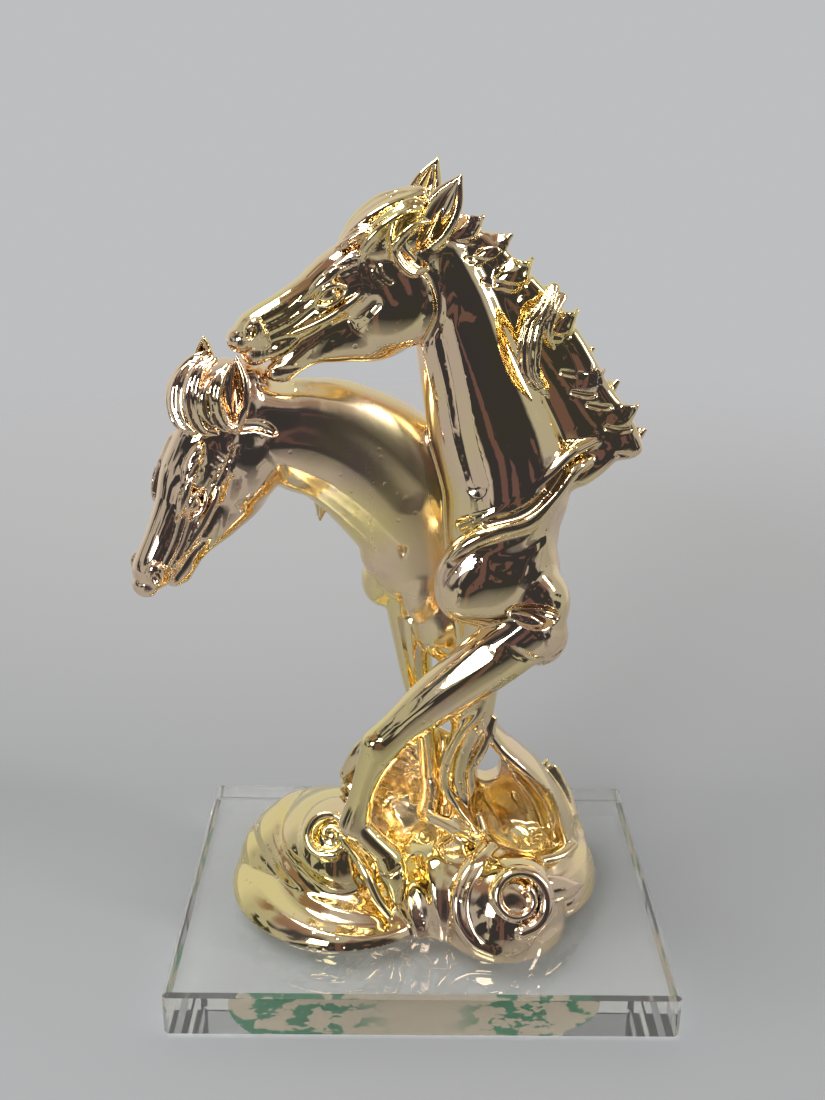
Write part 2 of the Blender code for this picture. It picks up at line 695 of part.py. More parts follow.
def flatten_seat(mesh):
    """Cut the casting flat where it rests on the plinth, and close the cut."""
    bm = bmesh.new()
    bm.from_mesh(mesh)
    geometry = bm.verts[:] + bm.edges[:] + bm.faces[:]
    bmesh.ops.bisect_plane(
        bm, geom=geometry, dist=0.0001, plane_co=(0, 0, 0), plane_no=(0, 0, -1), clear_outer=True
    )
    edges = [edge for edge in bm.edges if edge.is_boundary]
    bmesh.ops.holes_fill(bm, edges=edges, sides=0)
    bmesh.ops.triangulate(bm, faces=bm.faces)
    bmesh.ops.dissolve_degenerate(bm, dist=0.01, edges=bm.edges)
    bmesh.ops.triangulate(bm, faces=bm.faces)
    bm.to_mesh(mesh)
    bm.free()


def material(name, colour, roughness, metallic, transmission=0.0):
    """Return a plain material for a node."""
    item = bpy.data.materials.new(name)
    item.use_nodes = True
    shader = item.node_tree.nodes["Principled BSDF"]
    shader.inputs["Base Color"].default_value = (*colour, 1.0)
    shader.inputs["Roughness"].default_value = roughness
    shader.inputs["Metallic"].default_value = metallic
    shader.inputs["Transmission Weight"].default_value = transmission
    item.diffuse_color = (*colour, 1.0)
    return item


def make_plinth(collection):
    """Make the glass slab with its narrow chamfers."""
    bpy.ops.mesh.primitive_cube_add(size=1.0, location=(0, 0, PLINTH_HEIGHT / 2))
    slab = bpy.context.object
    slab.name = "glass_plinth"
    slab.data.name = "glass_plinth"
    slab.data.transform(Matrix.Diagonal((PLINTH_LENGTH, PLINTH_WIDTH, PLINTH_HEIGHT, 1.0)))
    edge = slab.modifiers.new("chamfer", "BEVEL")
    edge.width = PLINTH_CHAMFER
    edge.segments = 1
    slab.data.materials.append(material("clear_glass", (0.93, 0.96, 0.95), 0.03, 0.0, 1.0))
    for other in slab.users_collection:
        other.objects.unlink(slab)
    collection.objects.link(slab)
    return slab


def make_casting(collection, cutters):
    """Make the casting at its real size, standing on the plinth."""
    mesh = gilt_mesh(cutters)
    flatten_seat(mesh)
    top = max(vertex.co.z for vertex in mesh.vertices)
    rise = PLINTH_HEIGHT + SEAT_GAP
    mesh.transform(Matrix.Translation((0, 0, rise)) @ Matrix.Scale(FIGURE_HEIGHT / top, 4))
    mesh.name = "gilt_horses"
    item = bpy.data.objects.new("gilt_horses", mesh)
    mesh.materials.clear()
    mesh.materials.append(material("polished_gold", (0.83, 0.66, 0.33), 0.12, 1.0))
    mesh.shade_smooth()
    mesh.set_sharp_from_angle(angle=math.radians(50))
    collection.objects.link(item)
    return item


def main():
    for item in list(bpy.data.objects):
        bpy.data.objects.remove(item, do_unlink=True)
    collection = bpy.data.collections.new("gilt_horses_on_glass")
    bpy.context.scene.collection.children.link(collection)
    make_plinth(collection)
    cutters = bpy.data.collections.new("cutters")
    bpy.context.scene.collection.children.link(cutters)
    make_casting(collection, cutters)


main()
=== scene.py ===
import math
import bpy
import numpy as np
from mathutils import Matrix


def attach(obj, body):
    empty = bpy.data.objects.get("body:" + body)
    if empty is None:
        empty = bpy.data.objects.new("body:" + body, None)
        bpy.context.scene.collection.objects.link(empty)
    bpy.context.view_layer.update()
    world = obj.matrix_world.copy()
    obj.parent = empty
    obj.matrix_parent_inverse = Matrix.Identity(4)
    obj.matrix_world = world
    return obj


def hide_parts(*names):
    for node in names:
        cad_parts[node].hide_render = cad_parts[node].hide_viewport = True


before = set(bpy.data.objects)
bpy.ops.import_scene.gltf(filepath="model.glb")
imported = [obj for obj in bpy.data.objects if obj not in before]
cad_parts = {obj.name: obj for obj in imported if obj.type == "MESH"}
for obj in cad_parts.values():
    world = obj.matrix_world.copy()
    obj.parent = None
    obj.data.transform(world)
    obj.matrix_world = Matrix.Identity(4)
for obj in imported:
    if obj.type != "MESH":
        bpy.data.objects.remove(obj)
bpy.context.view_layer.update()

from concurrent.futures import ThreadPoolExecutor
from mathutils import Matrix, Vector

# The sculptor's tools. The casting is in millimetres above the plinth's top until the end.

def point(*values):
    return np.array(values, dtype=float)


def unit(v):
    return v / np.linalg.norm(v)


def throughPoints(rows, steps):
    # a Catmull-Rom curve through rows of numbers
    rows = np.asarray(rows, dtype=float)
    padded = np.vstack([2 * rows[0] - rows[1], rows, 2 * rows[-1] - rows[-2]])
    out = []
    for i in range(1, len(padded) - 2):
        p0, p1, p2, p3 = padded[i - 1:i + 3]
        for j in range(steps):
            t = j / steps
            out.append(0.5 * (2 * p1 + (p2 - p0) * t + (2 * p0 - 5 * p1 + 4 * p2 - p3) * t * t
                              + (3 * p1 - p0 - 3 * p2 + p3) * t ** 3))
    out.append(padded[-2])
    return np.array(out)


def melt(a, b, k):
    # the nearer of two surfaces, with the corner between them filled over k
    h = np.maximum(k - np.abs(a - b), 0) / k
    return np.minimum(a, b) - h * h * h * k / 6


def dig(a, b, k):
    # the first form with the second cut out of it
    return -melt(-a, b, k)


def sizedDistance(u, v, w, ru, rv, rw):
    # distance to an ellipsoid whose own axes carry u, v and w
    k0 = np.maximum(np.sqrt((u / ru) ** 2 + (v / rv) ** 2 + (w / rw) ** 2), 1e-4)
    k1 = np.sqrt((u / ru ** 2) ** 2 + (v / rv ** 2) ** 2 + (w / rw ** 2) ** 2)
    return k0 * (k0 - 1) / np.maximum(k1, 1e-6)


class ball:
    # an ellipsoid, turned about X, Y and Z in degrees
    def __init__(self, centre, radii, turn=(0, 0, 0)):
        self.centre = point(*centre)
        self.radii = point(*radii)
        spin = Matrix.Identity(3)
        for axis, angle in zip("XYZ", turn):
            spin = Matrix.Rotation(math.radians(angle), 3, axis) @ spin
        self.spin = np.array(spin)
        reach = np.sqrt(((self.spin * self.radii) ** 2).sum(axis=1))
        self.low, self.high = self.centre - reach, self.centre + reach

    def distance(self, p):
        local = (p - self.centre) @ self.spin
        return sizedDistance(*local.T, *self.radii)


class limb:
    # a body through stations of x, y, z, half thickness and half width along side
    def __init__(self, stations, side=(0, 1, 0), ribs=None):
        rows = throughPoints(stations, 16)
        rows[:, 3:5] = np.maximum(rows[:, 3:5], 0.2)
        tangent = np.gradient(rows[:, :3], axis=0)
        speed = np.linalg.norm(tangent, axis=1)
        self.table = np.column_stack([rows, tangent / speed[:, None], speed])
        self.side = unit(point(*side))
        self.ribs = ribs
        reach = rows[:, 3:5].max(axis=1)[:, None]
        self.low = (rows[:, :3] - reach).min(axis=0)
        self.high = (rows[:, :3] + reach).max(axis=0)

    def read(self, t):
        i = np.clip(t.astype(int), 0, len(self.table) - 2)
        u = (t - i)[:, None]
        return self.table[i] * (1 - u) + self.table[i + 1] * u

    def nearest(self, p):
        best = np.full(len(p), 1e18)
        t = np.zeros(len(p))
        for i in range(0, len(self.table), 4):
            gap = ((p - self.table[i, :3]) ** 2).sum(axis=1)
            closer = gap < best
            best[closer] = gap[closer]
            t[closer] = i
        last = len(self.table) - 1
        for _ in range(4):
            row = self.read(t)
            move = ((p - row[:, :3]) * row[:, 5:8]).sum(axis=1) / row[:, 8]
            t = np.clip(t + np.clip(move, -3, 3), 0, last)
        return t, self.read(t)

    def distance(self, p):
        t, row = self.nearest(p)
        along = row[:, 5:8] / np.linalg.norm(row[:, 5:8], axis=1)[:, None]
        lateral = self.side - along * (along @ self.side)[:, None]
        lateral /= np.maximum(np.linalg.norm(lateral, axis=1), 1e-6)[:, None]
        normal = np.cross(along, lateral)
        v = p - row[:, :3]
        a, b, c = (v * normal).sum(1), (v * lateral).sum(1), (v * along).sum(1)
        thick, wide = row[:, 3], row[:, 4]
        d = sizedDistance(a, b, c, thick, wide, np.minimum(thick, wide))
        if self.ribs:
            count, depth, twist = self.ribs
            turn = np.arctan2(b / wide, a / thick)
            share = t / (len(self.table) - 1)
            fade = np.clip(np.minimum(share, 1 - share) * 6, 0, 1)
            d = d + depth * fade * (0.5 - 0.5 * np.cos(turn * count + share * twist))
        return d


class furrow:
    # a groove pressed along a path, or a ridge where depth is below zero
    def __init__(self, path, width, depth):
        self.line = throughPoints(path, 6)
        self.width, self.depth = width, depth
        self.low, self.high = self.line.min(axis=0) - width, self.line.max(axis=0) + width

    def distance(self, p):
        best = np.full(len(p), 1e18)
        for a, b in zip(self.line[:-1], self.line[1:]):
            span = b - a
            t = np.clip(((p - a) @ span) / max(span @ span, 1e-9), 0, 1)
            gap = ((p - a - t[:, None] * span) ** 2).sum(axis=1)
            best = np.minimum(best, gap)
        share = np.clip(1 - best / self.width ** 2, 0, 1)
        return self.depth * share * share


class dimple:
    # a soft hollow, or a swelling where depth is below zero
    def __init__(self, centre, radii, depth, turn=(0, 0, 0)):
        self.form = ball(centre, radii, turn)
        self.low, self.high = self.form.low, self.form.high
        self.depth = depth

    def distance(self, p):
        local = ((p - self.form.centre) @ self.form.spin) / self.form.radii
        share = np.clip(1 - (local ** 2).sum(axis=1), 0, 1)
        return self.depth * share * share


class placed:
    # any form, set by a head's own axes
    def __init__(self, form, place):
        self.form = form
        self.origin, self.axes = place
        corners = [[(form.low, form.high)[i >> a & 1][a] for a in range(3)] for i in range(8)]
        world = self.origin + np.array(corners) @ self.axes.T
        self.low, self.high = world.min(axis=0), world.max(axis=0)

    def distance(self, p):
        return self.form.distance((p - self.origin) @ self.axes)


class Sculpture:
    def __init__(self, steps=None, place=None):
        self.steps, self.place = [] if steps is None else steps, place

    def within(self, place):
        # the same sculpture, for forms that are set by a head's own axes
        return Sculpture(self.steps, place)

    def add(self, form, soft=2.0):
        self.keep("add", form, soft)

    def cut(self, form, soft=1.0):
        self.keep("cut", form, soft)

    def press(self, form):
        self.keep("press", form, 0.0)

    def blob(self, centre, radii, soft, turn=(0, 0, 0)):
        self.keep("add", ball(centre, radii, turn), soft)

    def body(self, stations, soft, side=(0, 1, 0), ribs=None):
        self.keep("add", limb(stations, side, ribs), soft)

    def groove(self, path, width, depth):
        self.press(furrow(path, width, depth))

    def hollow(self, centre, radii, depth, turn=(0, 0, 0)):
        self.press(dimple(centre, radii, depth, turn))

    def keep(self, kind, form, soft):
        if self.place is not None:
            form = placed(form, self.place)
        self.steps.append((kind, form, soft))

    def value(self, origins, offsets, margin=7.0, atOnce=60000):
        # origins are cells' lowest corners, offsets the points in each cell
        parts = np.array_split(origins, max(1, len(origins) * len(offsets) // atOnce))
        with ThreadPoolExecutor() as pool:
            return np.concatenate(list(pool.map(lambda part: self.share(part, offsets, margin), parts)))

    def share(self, origins, offsets, margin, farAway=60.0):
        size = offsets.max(axis=0)
        field = np.full((len(origins), len(offsets)), farAway)
        if not len(origins):
            return field
        lowest, highest = origins.min(axis=0), (origins + size).max(axis=0)
        for kind, form, soft in self.steps:
            if (highest < form.low - margin).any() or (lowest > form.high + margin).any():
                continue
            inside = ((origins + size > form.low - margin) & (origins < form.high + margin)).all(axis=1)
            chosen = np.flatnonzero(inside)
            if not len(chosen):
                continue
            p = (origins[chosen][:, None, :] + offsets[None, :, :]).reshape(-1, 3)
            d = form.distance(p).reshape(len(chosen), len(offsets))
            now = field[chosen]
            if kind == "add":
                field[chosen] = melt(now, d, soft)
            elif kind == "cut":
                field[chosen] = dig(now, d, soft)
            else:
                field[chosen] = now + d
        return field

    def at(self, p, margin=7.0):
        return self.value(p, np.zeros((1, 3)), margin)[:, 0]

    def slope(self, p, step=0.1):
        # the value at each point, and its rise along the three axes
        values = self.value(p, np.vstack([np.zeros((1, 3)), np.eye(3) * step]))
        return values[:, 0], (values[:, 1:] - values[:, :1]) / step


def surfaceOf(sculpture, low, high, cell, blockCells):
    # find the blocks that the surface passes through, then the surface's own cells in them
    block = cell * blockCells
    counts = np.ceil((high - low) / block).astype(int)
    grid = np.stack(np.meshgrid(*[np.arange(c) for c in counts], indexing="ij"), -1).reshape(-1, 3)
    middle = sculpture.at(low + (grid + 0.5) * block, block * 1.3)
    near = np.abs(middle) < block * 1.15
    blocks = grid[near]
    print("sculpture:", len(blocks), "blocks of", round(block, 2), "mm")
    field = np.repeat(np.repeat(np.repeat(
        middle.reshape(counts).astype(np.float32), blockCells, 0), blockCells, 1), blockCells, 2)
    field = np.pad(field, ((0, 1), (0, 1), (0, 1)), mode="edge")
    steps = np.arange(blockCells + 1)
    local = np.stack(np.meshgrid(steps, steps, steps, indexing="ij"), -1).reshape(-1, 3)
    values = sculpture.value(low + blocks * block, local * cell)
    index = blocks[:, None, :] * blockCells + local[None, :, :]
    field[index[..., 0], index[..., 1], index[..., 2]] = values
    return field


def netOver(field, low, cell):
    # one vertex for each cell that the surface crosses, one square for each crossed edge
    inside = field < 0
    nx, ny, nz = np.array(field.shape) - 1
    total = np.zeros((nx, ny, nz), dtype=np.int8)
    for i in range(8):
        a, b, c = i >> 2 & 1, i >> 1 & 1, i & 1
        total += inside[a:a + nx, b:b + ny, c:c + nz]
    crossed = (total > 0) & (total < 8)
    cells = np.argwhere(crossed)
    number = np.full(crossed.shape, -1, dtype=np.int32)
    number[crossed] = np.arange(len(cells))
    corner = np.zeros((len(cells), 8))
    places = np.array([[i >> 2 & 1, i >> 1 & 1, i & 1] for i in range(8)])
    for i, place in enumerate(places):
        at = cells + place
        corner[:, i] = field[at[:, 0], at[:, 1], at[:, 2]]
    totalPoint = np.zeros((len(cells), 3))
    hits = np.zeros(len(cells))
    for i in range(8):
        for axis in (1, 2, 4):
            j = i | axis
            if j == i:
                continue
            a, b = corner[:, i], corner[:, j]
            change = (a < 0) != (b < 0)
            t = np.where(change, a / np.where(change, a - b, 1), 0)[:, None]
            totalPoint += np.where(change[:, None], places[i] * (1 - t) + places[j] * t, 0)
            hits += change
    points = low + (cells + totalPoint / hits[:, None]) * cell
    squares = []
    for axis in range(3):
        step = np.zeros(3, int)
        step[axis] = 1
        one, two = np.eye(3, dtype=int)[(axis + 1) % 3], np.eye(3, dtype=int)[(axis + 2) % 3]
        trimmed = tuple(slice(0, s - step[k]) for k, s in enumerate(inside.shape))
        moved = tuple(slice(step[k], s) for k, s in enumerate(inside.shape))
        change = inside[trimmed] != inside[moved]
        at = np.argwhere(change)
        keep = (at[:, (axis + 1) % 3] > 0) & (at[:, (axis + 2) % 3] > 0)
        keep &= (at[:, (axis + 1) % 3] < inside.shape[(axis + 1) % 3] - 1)
        keep &= (at[:, (axis + 2) % 3] < inside.shape[(axis + 2) % 3] - 1)
        at = at[keep]
        corners = [at - one - two, at - two, at, at - one]
        ring = np.stack([number[c[:, 0], c[:, 1], c[:, 2]] for c in corners], axis=1)
        flip = ~inside[at[:, 0], at[:, 1], at[:, 2]]
        ring[flip] = ring[flip][:, ::-1]
        squares.append(ring)
    return points, np.vstack(squares)


def settle(sculpture, points, rounds=2, limit=0.5):
    # draw the vertices onto the true surface
    for _ in range(rounds):
        value, normal = sculpture.slope(points)
        steep = np.maximum((normal ** 2).sum(axis=1), 0.05)
        move = np.clip(value / steep, -limit, limit)
        points = points - normal * move[:, None]
    return points


# The horses' heads

def headPlace(poll, yaw, pitch):
    # own axes: X to the muzzle, Y to the viewer's side, Z to the forehead
    yaw, pitch = math.radians(yaw), math.radians(pitch)
    forward = point(-math.cos(yaw) * math.cos(pitch), -math.sin(yaw) * math.cos(pitch), -math.sin(pitch))
    near = point(math.sin(yaw), -math.cos(yaw), 0)
    top = np.cross(near, forward)
    if top[2] < 0:
        top = -top
    return point(*poll), np.stack([forward, near, top], axis=1)


def sculptHead(work, close):
    # close lifts the lower jaw towards the muzzle, in degrees
    skull = (
        (-5, 0, -9, 9, 8), (6, 0, -8.5, 12.5, 11), (20, 0, -6.5, 15, 12.2), (34, 0, -4.8, 13, 11),
        (46, 0, -6.3, 11, 9.2), (58, 0, -6.8, 9.6, 7.8), (67, 0, -6.3, 8.4, 7.4), (73, 0, -6, 7.2, 7.6),
        (77, 0, -5.9, 4.8, 6),
    )
    work.body(skull, 3)
    lift = math.tan(math.radians(close))

    def low(x, z):
        return z + max(x - 45, 0) * lift

    jaw = (
        (14, 0, -23.5, 12, 8.2), (30, 0, -24.2, 12.3, 8.4), (42, 0, -21, 10.6, 7.2),
        (52, 0, low(52, -18.4), 8.4, 6.2), (60, 0, low(60, -18.2), 5.8, 5.6),
        (66, 0, low(66, -18.8), 5, 5.2), (71, 0, low(71, -18.6), 3.6, 4.2),
    )
    work.body(jaw, 1.2)
    work.blob((68, 0, low(68, -21.2)), (4.6, 3.6, 3), 1.2)
    for sign in (-1, 1):
        # cheek plate, temple and the facial crest below the eye
        work.blob((20, 5.6 * sign, -18), (19, 7.6, 17), 4, (0, -8, 0))
        work.blob((31, 8.6 * sign, 2.4), (8.5, 3.4, 3.6), 1.6, (0, 10, -8 * sign))
        crest = (
            (30, 10.4 * sign, -7.6, 0.6, 0.6), (38, 10.9 * sign, -9.4, 1.5, 1.6),
            (48, 9.2 * sign, -10.8, 1.8, 1.8), (60, 6.9 * sign, -10.8, 1, 1),
        )
        work.body(crest, 2)
        brow = (
            (30, 9.6 * sign, 4.2, 1.4, 1.6), (38, 10.6 * sign, 3, 2.2, 2.2), (45, 10.2 * sign, 0.8, 2.2, 2),
            (51, 8.0 * sign, -1.8, 1.2, 1.2),
        )
        work.body(brow, 1.4)
        # eye socket, ball and lids
        work.hollow((43.7, 11.0 * sign, -3.6), (8, 5, 5.4), 1.8)
        work.blob((43.4, 8.3 * sign, -3.4), (4, 3.7, 3.2), 0.3)
        upper = ((36.8, 9.8 * sign, -4.2, 0.8, 0.9), (40, 11.6 * sign, -1.3, 1.2, 1.3),
                 (44.6, 11.5 * sign, -1, 1.2, 1.3), (49.4, 8.8 * sign, -4.8, 0.7, 0.9))
        lower = ((36.8, 9.8 * sign, -4.2, 0.7, 0.8), (40.4, 11.1 * sign, -6.2, 0.9, 1),
                 (44.9, 10.7 * sign, -6.7, 0.9, 1), (49.4, 8.8 * sign, -4.8, 0.7, 0.8))
        work.body(upper, 0.5)
        work.body(lower, 0.5)
        # folds over and behind the eye
        for i in range(3):
            shift = 2.3 * i
            fold = ((28 - shift, 11.0 * sign, 1.5 + shift * 0.2),
                    (33 - shift * 0.4, 11.6 * sign, 1.2 + shift), (42, 10.8 * sign, 2.6 + shift * 0.6))
            work.groove(fold, 1.4, 0.9)
        # nostril with its rim
        work.blob((71, 6.6 * sign, -3.6), (4.4, 2.4, 3.6), 1.4, (0, 28, 0))
        work.cut(ball((73, 8.4 * sign, -3.9), (2.6, 2.2, 1.5), (0, 42, 18 * sign)), 0.5)
        work.groove(((63.5, 8 * sign, 0.5), (67, 8.6 * sign, -3.6), (65.5, 8.2 * sign, -8)), 1.8, 1.2)
        # folds that run from the muzzle back over the nose side
        for z0, z1, depth in ((0.8, 3, 0.9), (-2.2, 0.4, 1), (-5.2, -2.8, 0.8), (-8.2, -6.2, 1.1),
                              (-10.6, -13.2, 0.9)):
            work.groove(((67, 6.8 * sign, z0), (59, 7.4 * sign, (z0 + z1) / 2 - 0.9), (50, 8.6 * sign, z1)),
                        2.1, depth * 1.5)
        # jaw border, hollow of the throat, chin groove
        work.groove(((13, 12 * sign, -3), (8, 12 * sign, -14), (10, 11 * sign, -26), (18, 9.5 * sign, -35)),
                    2.6, 1.9)
        work.groove(((30, 11 * sign, -13), (40, 10 * sign, -17), (50, 8 * sign, -20),
                     (62, 6.4 * sign, low(62, -21))), 3.4, 1.3)
        work.hollow((25, 12 * sign, 1), (6, 5, 4), 1.2)
        for i in range(4):
            ripple = ((32 - 3 * i, 11.4 * sign, 1.5), (35 - 3.6 * i, 12.2 * sign, -2.5 - i),
                      (33 - 3.6 * i, 12.4 * sign, -6 - i))
            work.groove(ripple, 1.4, 0.55)
    if close < 0:
        # the upper lip hangs over the parted mouth
        work.blob((74, 0, -12.2), (5.6, 5.8, 4.8), 1.6, (0, -14, 0))
        work.blob((65, 0, -13.6), (9, 6.8, 4), 1.6, (0, 4, 0))
        for sign in (-1, 1):
            line = ((78, 2.6 * sign, -16.4), (72, 5.4 * sign, -17.2), (64, 6.2 * sign, -17),
                    (55, 6.6 * sign, -15.4), (47, 7.2 * sign, -13.6))
            work.groove(line, 1.9, 2)
            work.groove(((70, 4.6 * sign, -21), (64, 5.6 * sign, -22.6), (57, 6.2 * sign, -20.6)), 1.7, 1)
    if close > 3:
        for sign in (-1, 1):
            mouth = ((79, 0, -9), (76.5, 5.0 * sign, -10.2), (69, 7.2 * sign, -12.8),
                     (60, 6.8 * sign, -14.6), (55, 6.4 * sign, -16.4))
            work.groove(mouth, 1.7, 2.2)


leafShape = ((0, 0.7), (0.25, 1), (0.55, 0.85), (0.8, 0.5), (1, 0.1))
earShape = ((0, 0.55), (0.25, 0.95), (0.5, 1), (0.75, 0.74), (1, 0.12))


def leafRows(base, tip, wide, thick, bend=(0, 0, 0), shape=leafShape):
    # stations from base to tip, with the share of the width at each
    base, tip, bend = point(*base), point(*tip), point(*bend)
    rows = []
    for share, w in shape:
        at = base + (tip - base) * share + bend * math.sin(math.pi * share)
        rows.append((*at, thick * (1 - 0.75 * share ** 2), wide * w))
    return rows


def sculptEar(work, base, tip, wide, thick, side, hollow):
    # hollow points out of the ear's open face
    work.body(leafRows(base, tip, wide, thick, shape=earShape), 1.2, side)
    shift = unit(point(*hollow)) * thick
    inner = leafRows(point(*base) * 0.86 + point(*tip) * 0.14 + shift * 1.1,
                     point(*base) * 0.06 + point(*tip) * 0.94 + shift * 0.5, wide * 0.7, thick * 1.05,
                     shape=earShape)
    work.cut(limb(inner, side), 0.5)
    middle = leafRows(point(*base) * 0.9 + point(*tip) * 0.1 + shift * 0.3,
                      point(*base) * 0.4 + point(*tip) * 0.6 + shift * 0.25, 1, 1.4)
    work.body(middle, 1, side)


def coil(middle, facing, start, sweep, outer, inner, thick, count=9, lift=0, thin=0.45):
    # stations that wind in towards the middle of a curl, in the plane across facing
    facing = unit(point(*facing))
    first = unit(np.cross(facing, point(0, 0, 1)))
    second = np.cross(first, facing)
    rows = []
    for i in range(count):
        share = i / (count - 1)
        turn = math.radians(start + sweep * share)
        reach = outer + (inner - outer) * share
        spoke = first * math.cos(turn) + second * math.sin(turn)
        at = point(*middle) + spoke * reach + facing * lift * share
        size = thick * (1 - thin * share)
        rows.append((*at, size, size * 1.15))
    return rows


upperHorse = {
    "poll": (-2, -7, 279), "yaw": 16, "pitch": 24.5, "close": -7,
    "nearEar": ((-5, -14, 271), (9, -17, 296.5)),
    "farEar": ((-9, 3, 274), (1.5, 6, 300.8)),
    "neck": (
        (2, -5, 268, 13.5, 10.5), (9, -5, 251, 16.8, 12), (15, -6, 231, 19.8, 13.5),
        (22.5, -7, 209, 23.5, 15.5), (29.5, -8, 188, 24.5, 17.5), (29, -9, 168, 22, 18.5),
        (29, -9, 150, 20, 18.5),
    ),
    "sheet": (
        (4, -6, 274, 7, 4.6), (17, -6, 263, 9, 4.6), (31, -7, 246, 10.5, 4.8), (44, -8, 227, 12.5, 4.8),
        (56, -9, 209, 13, 4.6), (64, -9, 199, 9, 4),
    ),
    "brim": (
        (7, -6, 279, 4.6, 3.2), (17.5, -7, 271.5, 5, 3.2), (27.5, -7, 263.5, 5, 3.2),
        (37, -8, 254.5, 5, 3.2), (45, -8, 246, 5, 3.2), (52, -8, 236.5, 5, 3.2), (57.5, -9, 227.5, 5, 3.2),
        (62.5, -9, 219.5, 5, 3.2), (68.5, -9, 212, 5, 3.2), (73.5, -9, 204.5, 4.6, 3.2),
        (76.5, -9, 199.5, 3, 2.6),
    ),
    "teeth": (
        ((4, 277), (17.5, 283)), ((13, 270), (28, 276.5)), ((24, 262), (35.5, 268.5)),
        ((33, 252.5), (45.5, 258.5)),
        ((40, 244), (52.5, 250.5)), ((47, 234), (59.5, 236.5)), ((52, 225), (63.5, 229)),
        ((56, 217), (69.5, 224.5)),
        ((62, 210), (77, 216)), ((67, 202), (81, 206)),
    ),
    "belly": (
        (31, -8, 150, 21, 17), (31, -5, 132, 19, 16), (27, -2, 115, 15, 13.5), (20, 1, 99, 12, 11),
        (18, 3, 84, 10, 9.5),
    ),
    "foreleg": (
        (40, -20, 129, 12.5, 11), (24, -23, 117, 12, 10.5), (5, -25, 102, 10.2, 9), (-9, -26, 89, 8.2, 7.6),
        (-17, -27, 80, 8, 7), (-22, -27, 68, 5.8, 5.8), (-25, -27, 57, 5.2, 5.4), (-28, -28, 45, 6.6, 6),
    ),
}


